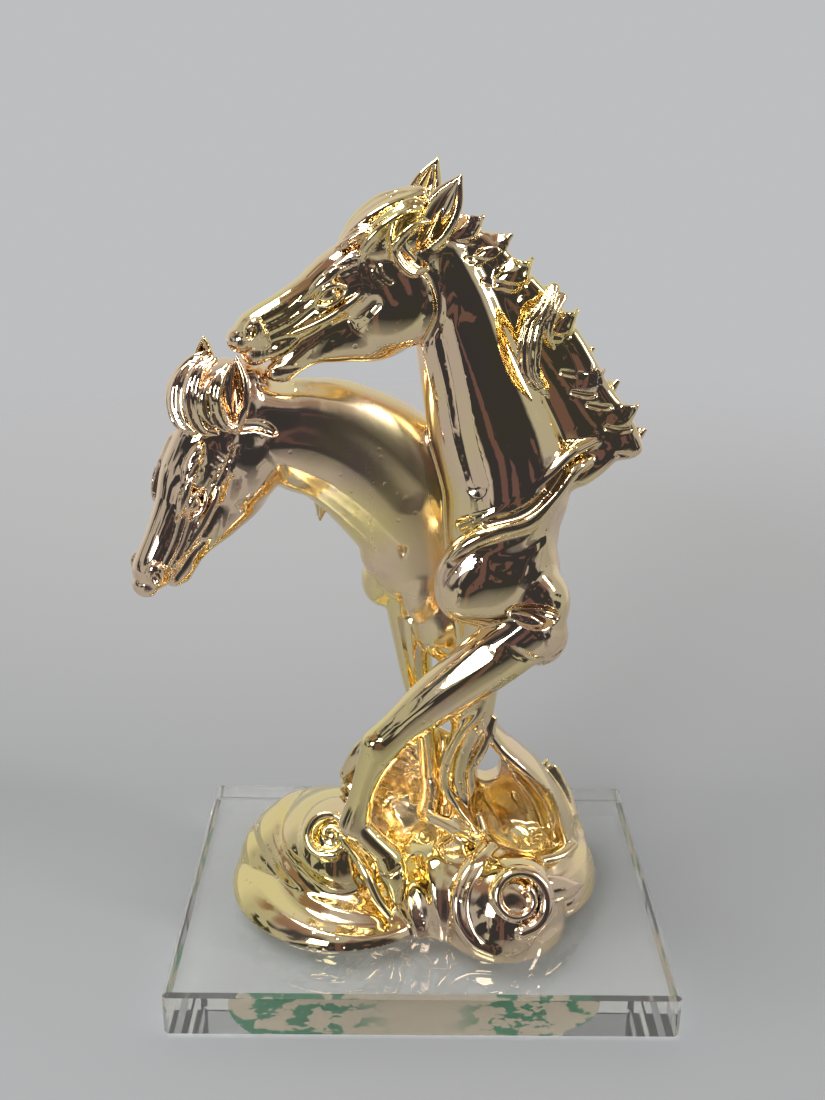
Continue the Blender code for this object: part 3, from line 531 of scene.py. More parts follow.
def sculptUpperHorse(work):
    s = upperHorse
    work.body(s["neck"], 3)
    work.body(s["sheet"], 2.5)
    work.body(s["brim"], 1.5)
    work.blob((69, -9, 201), (11, 3.8, 6.2), 3, (0, 12, 0))
    work.blob((60, -10, 191), (15, 5, 4.6), 3, (0, -38, 0))
    # the sheet of the mane ends in broad teeth, with leaves and creases over it
    for i, ((bx, bz), (tx, tz)) in enumerate(s["teeth"]):
        tilt = (-1) ** i
        work.body(leafRows((bx, -8, bz), (tx, -8.5 - tilt, tz), 6.4, 3.6, (1, -1.5 * tilt, -1.4)), 1.2,
                  (0.6, 0, 0.8), (3, 0.5, 2))
        # near the poll the tufts reach far over the sheet, and lower down only its rim is creased
        nearPoll = i < 3
        reach = 1.0 if nearPoll else 0.45
        if nearPoll:
            start = (tx - 12.5, -11.2, tz - 8.5)
            work.body(leafRows(start, (tx - 3.5, -11, tz - 5.5), 3, 1.5, (1.2, -0.6, 1)), 1.2, (0.6, 0, 0.8))
        work.groove(((tx - 6 - 12 * reach, -12, tz - 8), (tx - 6, -12, tz - 9), (tx - 3, -11, tz - 9)), 1.8,
                    0.9)
    # the lock that hangs over the neck, with its strands
    lock = ((43, -14, 259, 2, 2.2), (40, -18, 253, 2.4, 3.4), (36, -20, 247, 2.6, 4.2),
            (34.5, -21.5, 238, 2.6, 4.6), (36, -21.5, 229, 2.2, 3.6), (42.5, -19.5, 221, 0.8, 0.8))
    work.body(lock, 0.6, (1, 0.2, 0.3), (11, 0.7, 3))
    work.body(((46, -13, 256, 1.6, 2.4), (42, -17.5, 250, 2, 2.6), (41, -18, 244, 1.6, 2.4),
               (44, -16, 238, 0.8, 0.8)), 0.6, (1, 0.2, 0.3), (6, 0.5, 3))
    # long folds of the throat and the windpipe
    work.groove(((3, -17, 245), (8, -20, 225), (12, -22, 205), (17, -24, 188)), 5, 1.4)
    work.groove(((-4, -13, 243), (-2, -16, 225), (3, -19, 203), (6, -20, 184)), 3.4, -1)
    work.groove(((14, -18, 246), (22, -20, 228), (30, -22, 206)), 6, 0.7)
    # shoulder, elbow and breast
    work.body(s["belly"], 5)
    work.blob((24, -18, 150), (21, 13, 20), 2.5, (0, -18, 6))
    work.blob((14, -20, 146), (11, 11, 13), 4)
    work.blob((41, -17, 139), (14.5, 12, 16), 3)
    # two ridges that sweep from the mane's end over the shoulder
    work.body(((62, -11, 203, 2.2, 3), (52, -16, 199, 2.4, 3.5), (44, -19, 192, 2.6, 4),
               (34, -21.5, 184.5, 2.6, 4), (23, -22.5, 178, 2.6, 4), (12, -21, 172, 2, 3)), 1.4)
    work.body(((62, -10, 196, 2.2, 3), (54, -16, 193, 2.8, 4), (46, -20, 184, 3.2, 4.6),
               (37, -23.5, 175.5, 3.6, 5), (24, -26, 172, 3.8, 5), (13, -26.5, 166, 3.6, 4.6),
               (6.5, -25, 156, 2.8, 4), (6, -24, 146, 1.6, 3)), 1.8)
    work.groove(((50, -20, 193), (42, -24, 184), (33, -27, 178.5), (22, -28, 174.5)), 2.6, 1.8)
    work.groove(((56, -14, 183), (50, -21, 174), (38, -29, 165), (26, -32, 161)), 5, 1.6)
    work.hollow((52, -18, 168), (9, 9, 12), 2.6)
    work.groove(((9, -29, 160), (17, -31.5, 163), (27, -31, 164)), 2.6, 0.9)
    # foreleg, elbow, and the almond hollow of the upper arm with the small groove above it
    work.body(s["foreleg"], 1.6)
    work.blob((44, -17, 126), (11.5, 10, 13), 3)
    work.cut(ball((41.5, -31.5, 138.5), (12.5, 9, 5), (0, 9, -6)), 0.7)
    work.blob((38, -25, 136), (7, 2.4, 2.6), 1.5, (0, 20, 0))
    work.groove(((28, -32, 142.5), (41, -32, 145.5), (53, -27, 140)), 1.8, -0.9)
    work.groove(((38, -30, 150), (45, -29, 148.5), (53, -25, 144)), 2, 1.2)
    # elbow crease and the furrows of the forearm
    work.groove(((10, -32, 139), (16, -33, 135), (27, -34, 129.5), (37, -32, 123.5), (46, -28, 119),
                 (55, -22, 124)), 2.6, 1.8)
    work.groove(((14, -34, 131), (27, -36, 126), (37, -34, 119.5)), 2, -0.8)
    work.blob((-19.5, -28.5, 83), (5.6, 5.6, 5.6), 2)
    work.groove(((34, -31, 112), (16, -34, 99), (-4, -33, 85)), 3.4, 1.5)
    work.groove(((22, -33, 125), (4, -35, 111), (-12, -34, 97)), 4.4, 0.9)
    work.groove(((-16, -35, 76), (-20, -34, 64), (-23, -34, 50)), 2.4, 0.7)
    # pastern and hoof
    work.body(((-27, -28, 45, 5.4, 5.4), (-20, -30, 38, 5.2, 5.2), (-13, -31, 31, 5.6, 5.6)), 1.5)
    work.body(((-14, -31, 31, 6.2, 6.2), (-11.5, -33, 24, 6, 6.2), (-10.5, -35, 16, 3.4, 4.6)), 0.6)
    work.groove(((-20, -34, 29), (-14, -37.5, 28), (-7, -36, 32)), 1.4, 0.9)
    # head
    head = work.within(headPlace(s["poll"], s["yaw"], s["pitch"]))
    sculptHead(head, s["close"])
    # forelock: a mass on the forehead with lobes laid over it
    head.blob((12, 2, 3), (18, 12.5, 10.5), 2)
    lobes = (
        ((-1, 3, 12, 2.6, 4), (9, 4, 13.5, 3, 5), (19, 4, 12.5, 3, 5), (28, 2.5, 9.5, 2.4, 4),
         (33, 0, 7, 1, 1.6)),
        ((3, 9, 9.5, 2.4, 3.6), (11, 11, 10.5, 2.8, 4.8), (20, 11, 8.5, 2.8, 4.6), (26, 10, 5, 2.4, 3.6),
         (28, 9, 1.5, 1, 1.2)),
        ((0, -3, 12, 2.6, 4), (11, -4, 13.5, 3, 5), (21, -4, 11.5, 2.8, 4.4), (29, -3, 8.5, 1.4, 2)),
        ((3, -8, 9, 2.6, 4), (13, -10, 9.5, 2.8, 5), (22, -9, 7.5, 2.6, 4), (29, -7, 5.5, 1.2, 1.5)),
        ((17, 9, 9.5, 1.6, 2.6), (24, 8.5, 9.8, 2.2, 3), (30, 6.5, 8.8, 2, 2.6), (33, 3.5, 8, 1, 1.2)),
        ((1, 12, 4, 2, 3), (8, 14, 5.5, 2.4, 3.4), (15, 14.5, 3, 2.2, 3.2), (19, 13.5, -1.5, 1, 1.2)),
    )
    for rows in lobes:
        head.body(rows, 0.6, (0, 1, 0), (4, 0.9, 4))
    # the open curl below the near ear
    work.body(((-2, -15, 286, 2.2, 2.6), (-8, -19, 287, 2.6, 3.4), (-13, -22, 283, 2.6, 3.6),
               (-14.5, -23.5, 276, 2.4, 3.4), (-12, -23.5, 269.5, 2.2, 3), (-7, -22.5, 265, 2, 2.6),
               (-2, -21, 266, 1, 1.2)), 0.6, (0, 1, 0), (5, 0.5, 3))
    work.body(((-4, -18, 281, 1.6, 2), (-9, -21.5, 280, 2, 2.6), (-10.5, -22.5, 274.5, 1.8, 2.4),
               (-6.5, -22, 269.5, 1, 1.4)), 0.6, (0, 1, 0))
    sculptEar(work, *s["nearEar"], 7.2, 3.8, (0.85, -0.2, -0.42), (-0.25, -0.95, 0.05))
    sculptEar(work, *s["farEar"], 6.4, 3.4, (0.85, 0.2, -0.35), (-0.3, -0.93, 0.05))


lowerHorse = {
    "poll": (-73, -22, 225), "yaw": 37, "pitch": 58, "close": 7,
    "nearEar": ((-68.5, -33, 213), (-67.5, -31, 236.5)),
    "farEar": ((-81, -17, 223), (-80.5, -19, 241)),
    "neck": (
        (-68, -19, 212, 15, 11), (-58, -14, 206, 19, 13), (-48, -9, 203, 22, 14.5), (-34, -3, 198, 24.5, 16),
        (-17, 3, 185, 27.5, 17.5), (-4, 8, 165, 26.5, 18), (0, 11, 145, 23, 17.5),
    ),
    "foreleg": (
        (-7, 12, 130, 10, 9.5), (-5, 12, 112, 8.4, 8.4), (-3, 12, 95, 6.8, 7), (0, 12, 78, 5.6, 6),
        (2.5, 11, 62, 4.8, 5), (4, 10, 44, 4.4, 4.8),
    ),
}


def sculptLowerHorse(work):
    s = lowerHorse
    work.body(s["neck"], 3)
    work.blob((-15, 15, 137), (11, 11, 13.5), 2, (0, 14, 0))
    work.blob((-1, 3, 138), (9.5, 11, 15), 2, (0, 6, 0))
    work.blob((9, 5, 121), (13, 12, 17), 8)
    work.blob((-14, 6, 150), (12, 10, 10), 5)
    work.body(s["foreleg"], 2.5)
    work.body(((4.5, 9, 43, 4.6, 5), (4.5, 8, 36, 5.2, 5.4), (3.5, 7, 30, 5.6, 5.8)), 1)
    work.groove(((-9, -6, 158), (-8, -1, 145), (-8, 1, 132), (-6, 3, 124)), 3.6, 2)
    work.groove(((-9, 3, 122), (-7, 3, 106), (-4, 4, 88), (0, 5, 70)), 3, 1.6)
    work.hollow((-19, 6, 141), (4, 5, 6), 1.2)
    # muscles of the neck
    work.groove(((-56, -27, 210), (-40, -23, 208), (-22, -15, 196), (-8, -11, 180)), 8, 1.3)
    work.groove(((-54, -22, 192), (-42, -16, 184), (-28, -10, 172), (-16, -8, 158)), 6, 1.1)
    work.groove(((-60, -20, 226), (-44, -14, 222), (-24, -8, 212), (-6, -4, 194)), 5, 0.8)
    head = work.within(headPlace(s["poll"], s["yaw"], s["pitch"]))
    sculptHead(head, s["close"])
    head.blob((6, 1, 2), (15, 12, 9), 2)
    # C-shaped locks that fall over the forehead
    locks = (
        ((-75, -33, 236), (-80, -36, 232.5), (-82.5, -38, 226), (-82, -39, 219), (-79, -40, 213.5),
         (-74, -40, 212)),
        ((-81, -26, 234.5), (-86, -28.5, 230.5), (-88.5, -31, 225), (-88.5, -33, 218.5), (-86, -35, 213.5),
         (-82, -37, 211.5)),
        ((-70, -35, 234), (-73.5, -38, 229.5), (-75, -39.5, 224), (-74, -40, 218.5), (-71, -40, 214.5),
         (-67.5, -39, 214)),
        ((-78, -22, 236), (-84, -22, 233), (-89, -24, 227), (-91, -26, 220.5), (-90, -29, 214),
         (-87, -32, 210)),
    )
    widths = (1.2, 3, 3.8, 3.8, 2.8, 1)
    for i, path in enumerate(locks):
        rows = [(*at, 1.0 + 0.42 * wide, wide) for at, wide in zip(path, widths)]
        work.body(rows, 0.5, (1, -0.3, 0.35), (5, 0.7, 3.5))
    work.hollow((-77.5, -42, 222), (2.4, 4, 7), 1.6)
    work.body(((-76, -37, 230, 1, 1.2), (-78.5, -40, 225, 1.4, 1.8), (-78, -41, 219, 1.2, 1.6),
               (-75.5, -41, 215, 0.8, 0.8)), 0.5, (1, -0.3, 0.3))
    # fine hair behind the brow
    for i in range(4):
        work.groove(((-72 + 2 * i, -34, 207 - i), (-74 + 2 * i, -36, 200 - i), (-77 + 2 * i, -38, 193 - i)),
                    1.3, 0.8)
    sculptEar(work, *s["nearEar"], 5.4, 3, (0.9, -0.35, 0), (-0.35, -0.9, 0.1))
    sculptEar(work, *s["farEar"], 4.6, 2.8, (0.75, -0.3, 0), (-0.3, -0.9, 0))
    # a lock of mane that falls behind the neck
    work.body(leafRows((-40, 4, 184), (-42, 2, 165), 4, 2.6), 1, (0.9, 0.3, 0), (5, 0.4, 1))


wave = {
    "column": (
        (18, 2, 98, 12, 11), (20.5, 2, 84, 9, 10), (18.5, 2, 72, 7.4, 8.5), (15.5, 2, 61, 6.8, 8.5),
        (15, 2, 51, 7.2, 9), (18.5, 2, 41, 8, 10), (22, 0, 28, 12, 14), (22, 2, 12, 18, 20),
    ),
    "crest": (
        (63, 7, 6, 7, 14), (63, 5, 16, 5, 13), (61.5, 4, 26, 4.4, 12.5), (58, 3, 36, 4.2, 12),
        (52.5, 2, 46, 4, 11.5), (46.5, 2, 54.5, 3.8, 11), (39.5, 2, 61, 3.8, 10.5), (32.5, 3, 67, 3.8, 9.5),
        (27, 3, 75, 3.6, 8), (23, 3, 85, 3.4, 7),
    ),
}


class roughness:
    # small dents all over a ball-shaped region
    def __init__(self, centre, radii, depth, size):
        self.form = ball(centre, radii)
        self.low, self.high = self.form.low, self.form.high
        self.depth, self.size = depth, size

    def distance(self, p):
        local = ((p - self.form.centre) @ self.form.spin) / self.form.radii
        share = np.clip(1.6 - 1.6 * (local ** 2).sum(axis=1), 0, 1)
        q = p / self.size
        bend = 1.7 * np.sin(q @ point(0.37, 0.21, 0.48)) + 1.1 * np.sin(q @ point(-0.62, 0.33, 0.29) + 2)
        waves = (np.sin(q @ point(1.1, 0.4, 0.9) + bend) + np.sin(q @ point(-0.8, 0.9, 1.3) - 1.4 * bend + 1)
                 + 0.8 * np.sin(q @ point(1.6, -0.7, -1.1) + 1.8 * bend + 3)
                 + 0.5 * np.sin(q @ point(2.3, 1.2, 2.9) + bend))
        return self.depth * share * waves / 3


def sculptWave(work):
    # left lobe: a broad skirt, then stepped crescents that wind up to the small curl
    work.blob((-33, 2, -2), (49.5, 52, 18), 1)
    work.blob((-41, 13, -2), (40, 37, 33), 1.5)
    work.blob((-36, 3, 3), (32, 34, 35), 2)
    work.blob((-36, -6, 12), (21, 24, 29), 0.8)
    work.blob((-37, -12, 17), (14.5, 15, 23), 0.8)
    for line, width, depth in (
        (((-72, 22, 14), (-70, 4, 13), (-64, -14, 11), (-52, -31, 9), (-36, -40, 8), (-18, -41, 8),
          (-6, -36, 9)), 7, 2),
        (((-56, 30, 27), (-59, 6, 22), (-55, -13, 19), (-45, -28, 16), (-30, -35, 14), (-16, -35, 12)), 6,
         2.6),
    ):
        work.groove(line, width, depth)
    facing = (-0.05, -0.79, 0.62)
    work.cut(ball((-39, -24, 39), (6.6, 5, 6.6)), 1)
    work.body(coil((-39, -20.5, 35.5), facing, 250, 400, 8.6, 7.2, 2.4, 13, 0, 0.3), 0.8, facing,
              (2, 0.5, 2))
    work.body(coil((-38.5, -20, 35), facing, 200, -230, 4.6, 1.6, 1.7, 8), 0.8, facing)
    # the rim on which the hoof rests
    work.body(((-32, -22, 34, 2.2, 2.6), (-27, -27, 30, 2.4, 3), (-22, -33, 24, 2.4, 3),
               (-18, -37, 16.5, 2.2, 2.6), (-13, -40, 10, 1.6, 1.8)), 2)
    # middle lobe with its platform, and the right lobe
    work.blob((8, -12, -2), (25, 31, 34), 2)
    work.blob((33, -27, -1), (27, 29, 33), 1.5)
    work.blob((50, 8, -2), (28, 38, 24), 3)
    work.blob((50, 27, -2), (27, 29, 26), 3)
    work.blob((8, 26, -2), (38, 31, 38), 4)
    # wall of water behind the legs
    work.body(((-26, 24, 30, 14, 6), (-15, 22, 40, 20, 6), (-4, 19, 45, 22, 6), (8, 14, 42, 22, 6)), 4)
    work.press(roughness((-9, 16, 42), (20, 12, 26), 0.45, 1.5))
    # column with two winding edges
    work.body(wave["column"], 2, (0, 1, 0), (2, 1.6, 5))
    for rows in (
        ((24, -6, 90, 2, 2), (21.5, -7, 84, 2.2, 2.2), (15.5, -7, 76, 2.2, 2.2), (10.5, -7, 64, 2.2, 2.2),
         (9, -8, 52, 2.2, 2.2), (14.5, -9, 43, 2.4, 2.4), (25, -15, 33, 2.4, 2.4)),
        ((29, -2, 80, 1.8, 1.8), (25, -5, 68, 2, 2), (20.5, -6, 59, 2, 2), (20.5, -7, 51, 2, 2),
         (22.5, -9, 41, 2, 2), (28, -18, 32, 1.8, 1.8)),
    ):
        work.body(rows, 1.5)
    work.groove(((21, -9, 76), (15.5, -9, 65), (14, -10, 54), (18, -11, 43), (25, -15, 35)), 3, 1.8)
    # breaking crest, its walls and ripples
    work.body(wave["crest"], 2)
    back = ((17, 10, 30, 24, 4.5), (27, 15, 29, 27, 4.5), (38, 16, 27, 30, 4.5), (47, 14, 21, 26, 5),
            (55, 9, 14, 20, 5.5))
    work.body(back, 3)
    work.cut(ball((39, -5, 36), (18.5, 18, 23.5), (0, -26, 0)), 1.5)
    work.cut(ball((28.5, 8, 50), (6.2, 22, 8), (0, -12, 0)), 1.5)
    for rows in (
        ((58, -2, 20, 1.4, 1.6), (56, 2, 31, 1.8, 2), (50.5, 5, 42, 1.8, 2), (43, 6, 50, 1.6, 1.8),
         (37, 4, 54, 1, 1)),
        ((55, 6, 18, 1.4, 1.6), (52, 9, 28, 1.8, 2), (46.5, 11, 38, 1.8, 2), (41, 12, 44, 1.2, 1.4)),
        ((49, 10, 17, 1.2, 1.4), (46, 12, 26, 1.6, 2), (41, 13, 34, 1.4, 1.6)),
    ):
        work.body(rows, 1.2)
    work.press(roughness((42, 4, 20), (12, 12, 8), 0.5, 2))
    # front rim of the bowl, from the star round to the crest's foot
    rim = ((24, -10, 38, 2, 2.4), (28, -17, 30, 2.4, 3), (36, -17.5, 24.5, 2.4, 4),
           (46, -16, 21.5, 2.4, 4.5), (57, -12, 21, 2.4, 4.5), (64, -6, 22, 2.4, 4))
    work.body(rim, 1.5)
    # ridges that meet at the star: to the lower horse's hoof, down the front and round the volute
    for rows in (
        ((4, 1, 30.5, 2.4, 3), (12, -7, 31.5, 2.6, 3.4), (20, -15, 31.5, 2.6, 3.4), (28, -21, 30.5, 2.4, 3)),
        ((28, -21, 30.5, 2.8, 3.4), (20, -31, 28.5, 3.2, 4), (14.5, -39.5, 21, 3.4, 4),
         (15, -45.5, 13, 3.2, 3.6), (20.5, -50.5, 6, 2.8, 3), (29, -54.5, 3.5, 2, 2)),
    ):
        work.body(rows, 4)
    work.hollow((3, -12, 33), (13, 11, 7), 1.6)
    work.hollow((13, -22, 31), (9, 9, 7), 1.4)
    work.groove(((-4, -26, 25), (-1, -34, 17), (1, -40, 9), (3, -44, 2)), 6.5, 2.6)
    # volute
    facing = (0.05, -0.85, 0.53)
    work.cut(ball((38, -51, 27), (12, 6.5, 12), (-30, 0, 0)), 2)
    work.body(coil((38, -44.5, 22.5), facing, 265, -480, 13.2, 5.6, 3.4, 19, 1.5, 0.35), 0.9, facing,
              (2, 0.8, 3))
    work.cut(ball((38.5, -50.5, 28), (4.8, 5, 4.8)), 1)
    # pointed leaf, and the folds of the right lobe
    work.body(((47, -38, 22, 2.4, 5), (54, -35, 20, 2.6, 5.5), (61, -31, 17, 2, 4), (67, -25, 15, 0.8, 0.8)),
              0.8, (0, 0.5, 1))
    work.groove(((72, 20, 12), (69, 0, 15), (62, -14, 15), (52, -24, 16)), 4.5, 1.8)
    work.groove(((62, -36, 4), (55, -42, 8), (49, -48, 8)), 3.5, 1.4)


print("sculpting the casting")
work = Sculpture()
sculptWave(work)
sculptLowerHorse(work)
sculptUpperHorse(work)
net = {
    "cell": 0.75, "blockCells": 8, "low": (-112, -62, -1.2), "high": (86, 64, 306),
    "foot": -0.35, "seatRadius": 40000, "faces": 190000, "raised": 0.0203,
}
# the foot is cut level, and reaches the glass as the glued casting does
radius = net["seatRadius"]
work.cut(ball((0, 0, net["foot"] - radius), (radius, radius, radius)), 0.3)
low = point(*net["low"])
field = surfaceOf(work, low, point(*net["high"]), net["cell"], net["blockCells"])
points, squares = netOver(field, low, net["cell"])
print("net:", len(points), "points")
mesh = bpy.data.meshes.new("castingNet")
mesh.from_pydata(settle(work, points, 1).tolist(), [], squares.tolist())
mesh.update()
casting = bpy.data.objects.new("gilt_casting", mesh)
bpy.context.scene.collection.objects.link(casting)
triangles = 2 * len(squares)
if triangles > net["faces"]:
    thin = casting.modifiers.new("fewer faces", "DECIMATE")
    thin.ratio = net["faces"] / triangles
    graph = bpy.context.evaluated_depsgraph_get()
    reduced = bpy.data.meshes.new_from_object(casting.evaluated_get(graph), depsgraph=graph)
    casting.modifiers.clear()
    casting.data = reduced
mesh = casting.data
mesh.validate()
count = len(mesh.vertices)
flat = np.empty(count * 3)
mesh.vertices.foreach_get("co", flat)
points = settle(work, flat.reshape(-1, 3), 1, 0.25)
value, normals = work.slope(points)
normals /= np.maximum(np.linalg.norm(normals, axis=1), 1e-6)[:, None]
print("casting:", len(mesh.polygons), "faces")
place = points * 0.001 + point(0, 0, net["raised"])
mesh.vertices.foreach_set("co", place.ravel())
mesh.update()
mesh.shade_smooth()
mesh.normals_split_custom_set_from_vertices(normals.tolist())
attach(casting, "root")
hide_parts("gilt_horses")


def newNode(tree, kind, settings=None, out=0, **sockets):
    # settings come first, then the sockets, by name or by number as i0, i1
    made = tree.nodes.new("ShaderNode" + kind)
    for name, setting in (settings or {}).items():
        setattr(made, name, setting)
    for name, value in sockets.items():
        slot = made.inputs[int(name[1:])] if name[0] == "i" and name[1:].isdigit() else made.inputs[name]
        if isinstance(value, Value):
            tree.links.new(value.socket, slot)
        elif slot.type == "RGBA":
            slot.default_value = (*value, 1)
        else:
            slot.default_value = value
    return Value(tree, made.outputs[out])


class Value:
    # a socket of a node tree that takes ordinary arithmetic
    def __init__(self, tree, socket):
        self.tree, self.socket = tree, socket

    def node(self, kind, settings=None, out=0, **sockets):
        return newNode(self.tree, kind, settings, out, **sockets)

    def maths(self, operation, *values, clamp=False):
        sockets = {"i" + str(i): value for i, value in enumerate(values)}
        return self.node("Math", {"operation": operation, "use_clamp": clamp}, **sockets)

    def __add__(self, other):
        return self.maths("ADD", self, other)

    def __radd__(self, other):
        return self.maths("ADD", other, self)

    def __sub__(self, other):
        return self.maths("SUBTRACT", self, other)

    def __rsub__(self, other):
        return self.maths("SUBTRACT", other, self)

    def __mul__(self, other):
        return self.maths("MULTIPLY", self, other)

    def __rmul__(self, other):
        return self.maths("MULTIPLY", other, self)

    def __truediv__(self, other):
        return self.maths("DIVIDE", self, other)

    def __rtruediv__(self, other):
        return self.maths("DIVIDE", other, self)

    def __abs__(self):
        return self.maths("ABSOLUTE", self)

    def above(self, level, soft):
        # 0 below the level, 1 above it, with a soft step between
        return self.maths("MULTIPLY", (self - (level - soft)) / (2 * soft), 1.0, clamp=True)

    def below(self, level, soft):
        return (level - self).above(0.0, soft)

    def mix(self, low, high):
        # the colour at 0 is low and the one at 1 is high
        return self.node("Mix", {"data_type": "RGBA"}, 2, i0=self, i6=low, i7=high)

    def parts(self):
        split = self.node("SeparateXYZ", i0=self)
        return [Value(self.tree, socket) for socket in split.socket.node.outputs]


def newMaterial(name, colour):
    material = bpy.data.materials.new(name)
    material.use_nodes = True
    material.diffuse_color = (*colour, 1)
    tree = material.node_tree
    shader = tree.nodes["Principled BSDF"]
    shader.inputs["Base Color"].default_value = (*colour, 1)
    return material, tree, shader


def surfacePlace(tree):
    # the object's own coordinates, in metres
    start = newNode(tree, "TexCoord", out="Object")
    return start, start.parts()


def noise(place, scale, detail=2.0, rough=0.5):
    settings = {"noise_dimensions": "3D"}
    return place.node("TexNoise", settings, Vector=place, Scale=scale, Detail=detail, Roughness=rough)


def feed(tree, value, socket):
    tree.links.new(value.socket, socket)


gold = {
    "yellow": (0.95, 0.80, 0.38), "pink": (0.93, 0.72, 0.52), "dull": (0.72, 0.52, 0.26),
    "polish": 0.035, "satin": 0.32, "ripple": 0.07, "filler": (0.62, 0.52, 0.38), "felt": (0.02, 0.22, 0.09),
    # the underside's emission strength is painted light, standing in for light that reaches it through the
    # glass
    "paintedUnderLight": 0.35, "underside": 0.02005, "bareMiddle": 0.02,
    # bounds of the satin places, in metres
    "neckLeft": -0.045, "neckFront": -0.030, "neckLow": 0.140, "neckHigh": 0.246,
    "edgeHeight": 0.251, "edgeSlope": -0.19, "waveFoot": 0.062,
    "bowlLeft": 0.026, "bowlFront": -0.020, "bowlTop": 0.078,
    "wallLeft": -0.028, "wallRight": 0.008, "wallFront": -0.002, "wallTop": 0.09,
}


def goldMaterial():
    s = gold
    material, tree, shader = newMaterial("polishedGold", s["yellow"])
    place, (x, y, z) = surfacePlace(tree)
    broad = noise(place, 14, 2.0)
    cloud = noise(place, 55, 3.0)
    fine = noise(place, 900, 2.0)
    pink = (broad * 0.7 + cloud * 0.3).above(0.50, 0.09)
    colour = pink.mix(s["yellow"], s["pink"])
    stain = noise(place, 260, 4.0, 0.7).above(0.70, 0.06)
    colour = (stain * 0.35).mix(colour, s["dull"])
    # the lower horse's neck and breast are satin, left of the upper horse's slanting edge
    edge = (z - s["edgeHeight"]) * s["edgeSlope"] - x
    reach = x.above(s["neckLeft"], 0.035)
    neck = reach * reach * (3.0 - reach * 2.0) * edge.above(0.006, 0.004) * z.above(s["neckLow"], 0.02)
    neck = neck * y.above(s["neckFront"], 0.004) * z.below(s["neckHigh"], 0.003)
    # so are patches of the wave's foot, its bowl and the wall of water
    foot = z.below(s["waveFoot"], 0.012) * cloud.above(0.52, 0.08)
    bowl = x.above(s["bowlLeft"], 0.004) * y.above(s["bowlFront"], 0.004) * z.below(s["bowlTop"], 0.006)
    wall = x.above(s["wallLeft"], 0.004) * x.below(s["wallRight"], 0.006)
    wall = wall * y.above(s["wallFront"], 0.004) * z.below(s["wallTop"], 0.01)
    matt = neck * 0.8 + foot * 0.3 + bowl * 0.5 + wall * 0.6
    roughness = s["polish"] + matt * s["satin"] + stain * 0.10 + (fine - 0.5) * 0.02
    # the casting's underside, which the glass shows: filler with torn felt, which also glows in its own
    # colour as painted light, standing in for the light that reaches it through the glass
    under = z.below(s["underside"], 0.00008)
    torn = noise(place, 90, 3.0, 0.6).above(0.52, 0.01) * abs(x).above(s["bareMiddle"], 0.01)
    filler = torn.mix(s["filler"], s["felt"])
    feed(tree, under.mix(colour, filler), shader.inputs["Base Color"])
    # painted light: the underside's emission in the filler's colour stands in for light that reaches it
    # through the glass
    feed(tree, under.mix((0, 0, 0), filler), shader.inputs["Emission Color"])
    shader.inputs["Emission Strength"].default_value = s["paintedUnderLight"]
    feed(tree, 1 - under, shader.inputs["Metallic"])
    feed(tree, roughness + under * 0.6, shader.inputs["Roughness"])
    # a slight unevenness of the plating, and pinholes
    wave = noise(place, 42, 1.5) * s["ripple"] + noise(place, 170, 2.0) * 0.02
    pits = place.node("TexVoronoi", {"feature": "F1"}, Vector=place, Scale=210)
    hole = pits.below(0.16, 0.05) * noise(place, 30, 1.0).above(0.56, 0.03)
    height = wave - hole * 0.05
    feed(tree, place.node("Bump", Height=height, Strength=0.55, Distance=0.004), shader.inputs["Normal"])
    return material


glass = {"tint": (0.66, 0.665, 0.65), "bend": 1.50, "clear": 0.94, "dust": (0.80, 0.80, 0.76)}


def glassMaterial():
    s = glass
    material, tree, shader = newMaterial("clearGlass", s["tint"])
    shader.inputs["Transmission Weight"].default_value = s["clear"]
    shader.inputs["IOR"].default_value = s["bend"]
    place, _ = surfacePlace(tree)
    # faint smears and dust on the polished faces
    smear = noise(place, 35, 4.0, 0.6).above(0.62, 0.08)
    dust = noise(place, 1400, 2.0, 0.6).above(0.74, 0.02)
    feed(tree, smear * 0.03 + dust * 0.25, shader.inputs["Roughness"])
    feed(tree, (dust * 0.5).mix(s["tint"], s["dust"]), shader.inputs["Base Color"])
    return material


print("materials")
casting.data.materials.append(goldMaterial())
plinth = bpy.data.objects["glass_plinth"]
clear = glassMaterial()
for slot in plinth.material_slots:
    slot.material = clear
# light passes through the glass onto the floor
plinth.visible_shadow = False


print("stage, light and camera")
stage = {
    # the far floor's colour is painted lighter, up to the backdrop's brightness
    "floor": (0.325, 0.333, 0.34), "far": (0.98, 0.99, 1.0), "level": -0.0006, "radius": 1.3, "corners": 96,
    "fade": (0.34, 0.86), "behind": (0, 0.32, 0),
}
# what the gold mirrors: pale walls, a lighter back, and a dark room in front
room = {
    "sky": (0.51, 0.515, 0.53), "wall": (0.45, 0.455, 0.46), "back": (0.66, 0.66, 0.63),
    "warm": (0.26, 0.17, 0.14), "brown": (0.15, 0.095, 0.10), "dark": (0.040, 0.042, 0.052),
    "pale": (0.50, 0.49, 0.48),
}
# place, aim, size and power
lights = {
    "softTop": ((-0.30, -0.10, 1.1), (0, 0, 0.1), (0.5, 0.35), 7.5),
    "softSide": ((0.75, -0.30, 0.70), (0, 0, 0.15), (0.10, 0.45), 2.0),
    "softFront": ((-0.40, -0.80, 0.56), (0, 0, 0.15), (0.30, 0.30), 3.6),
}
camera = {
    "place": (-0.0101, -0.4463, 0.3452), "pitch": 20.96, "yaw": 0.59, "roll": 0.80,
    "lens": 1211 / 1100 * 36, "sensor": 36, "nearest": 0.02,
}


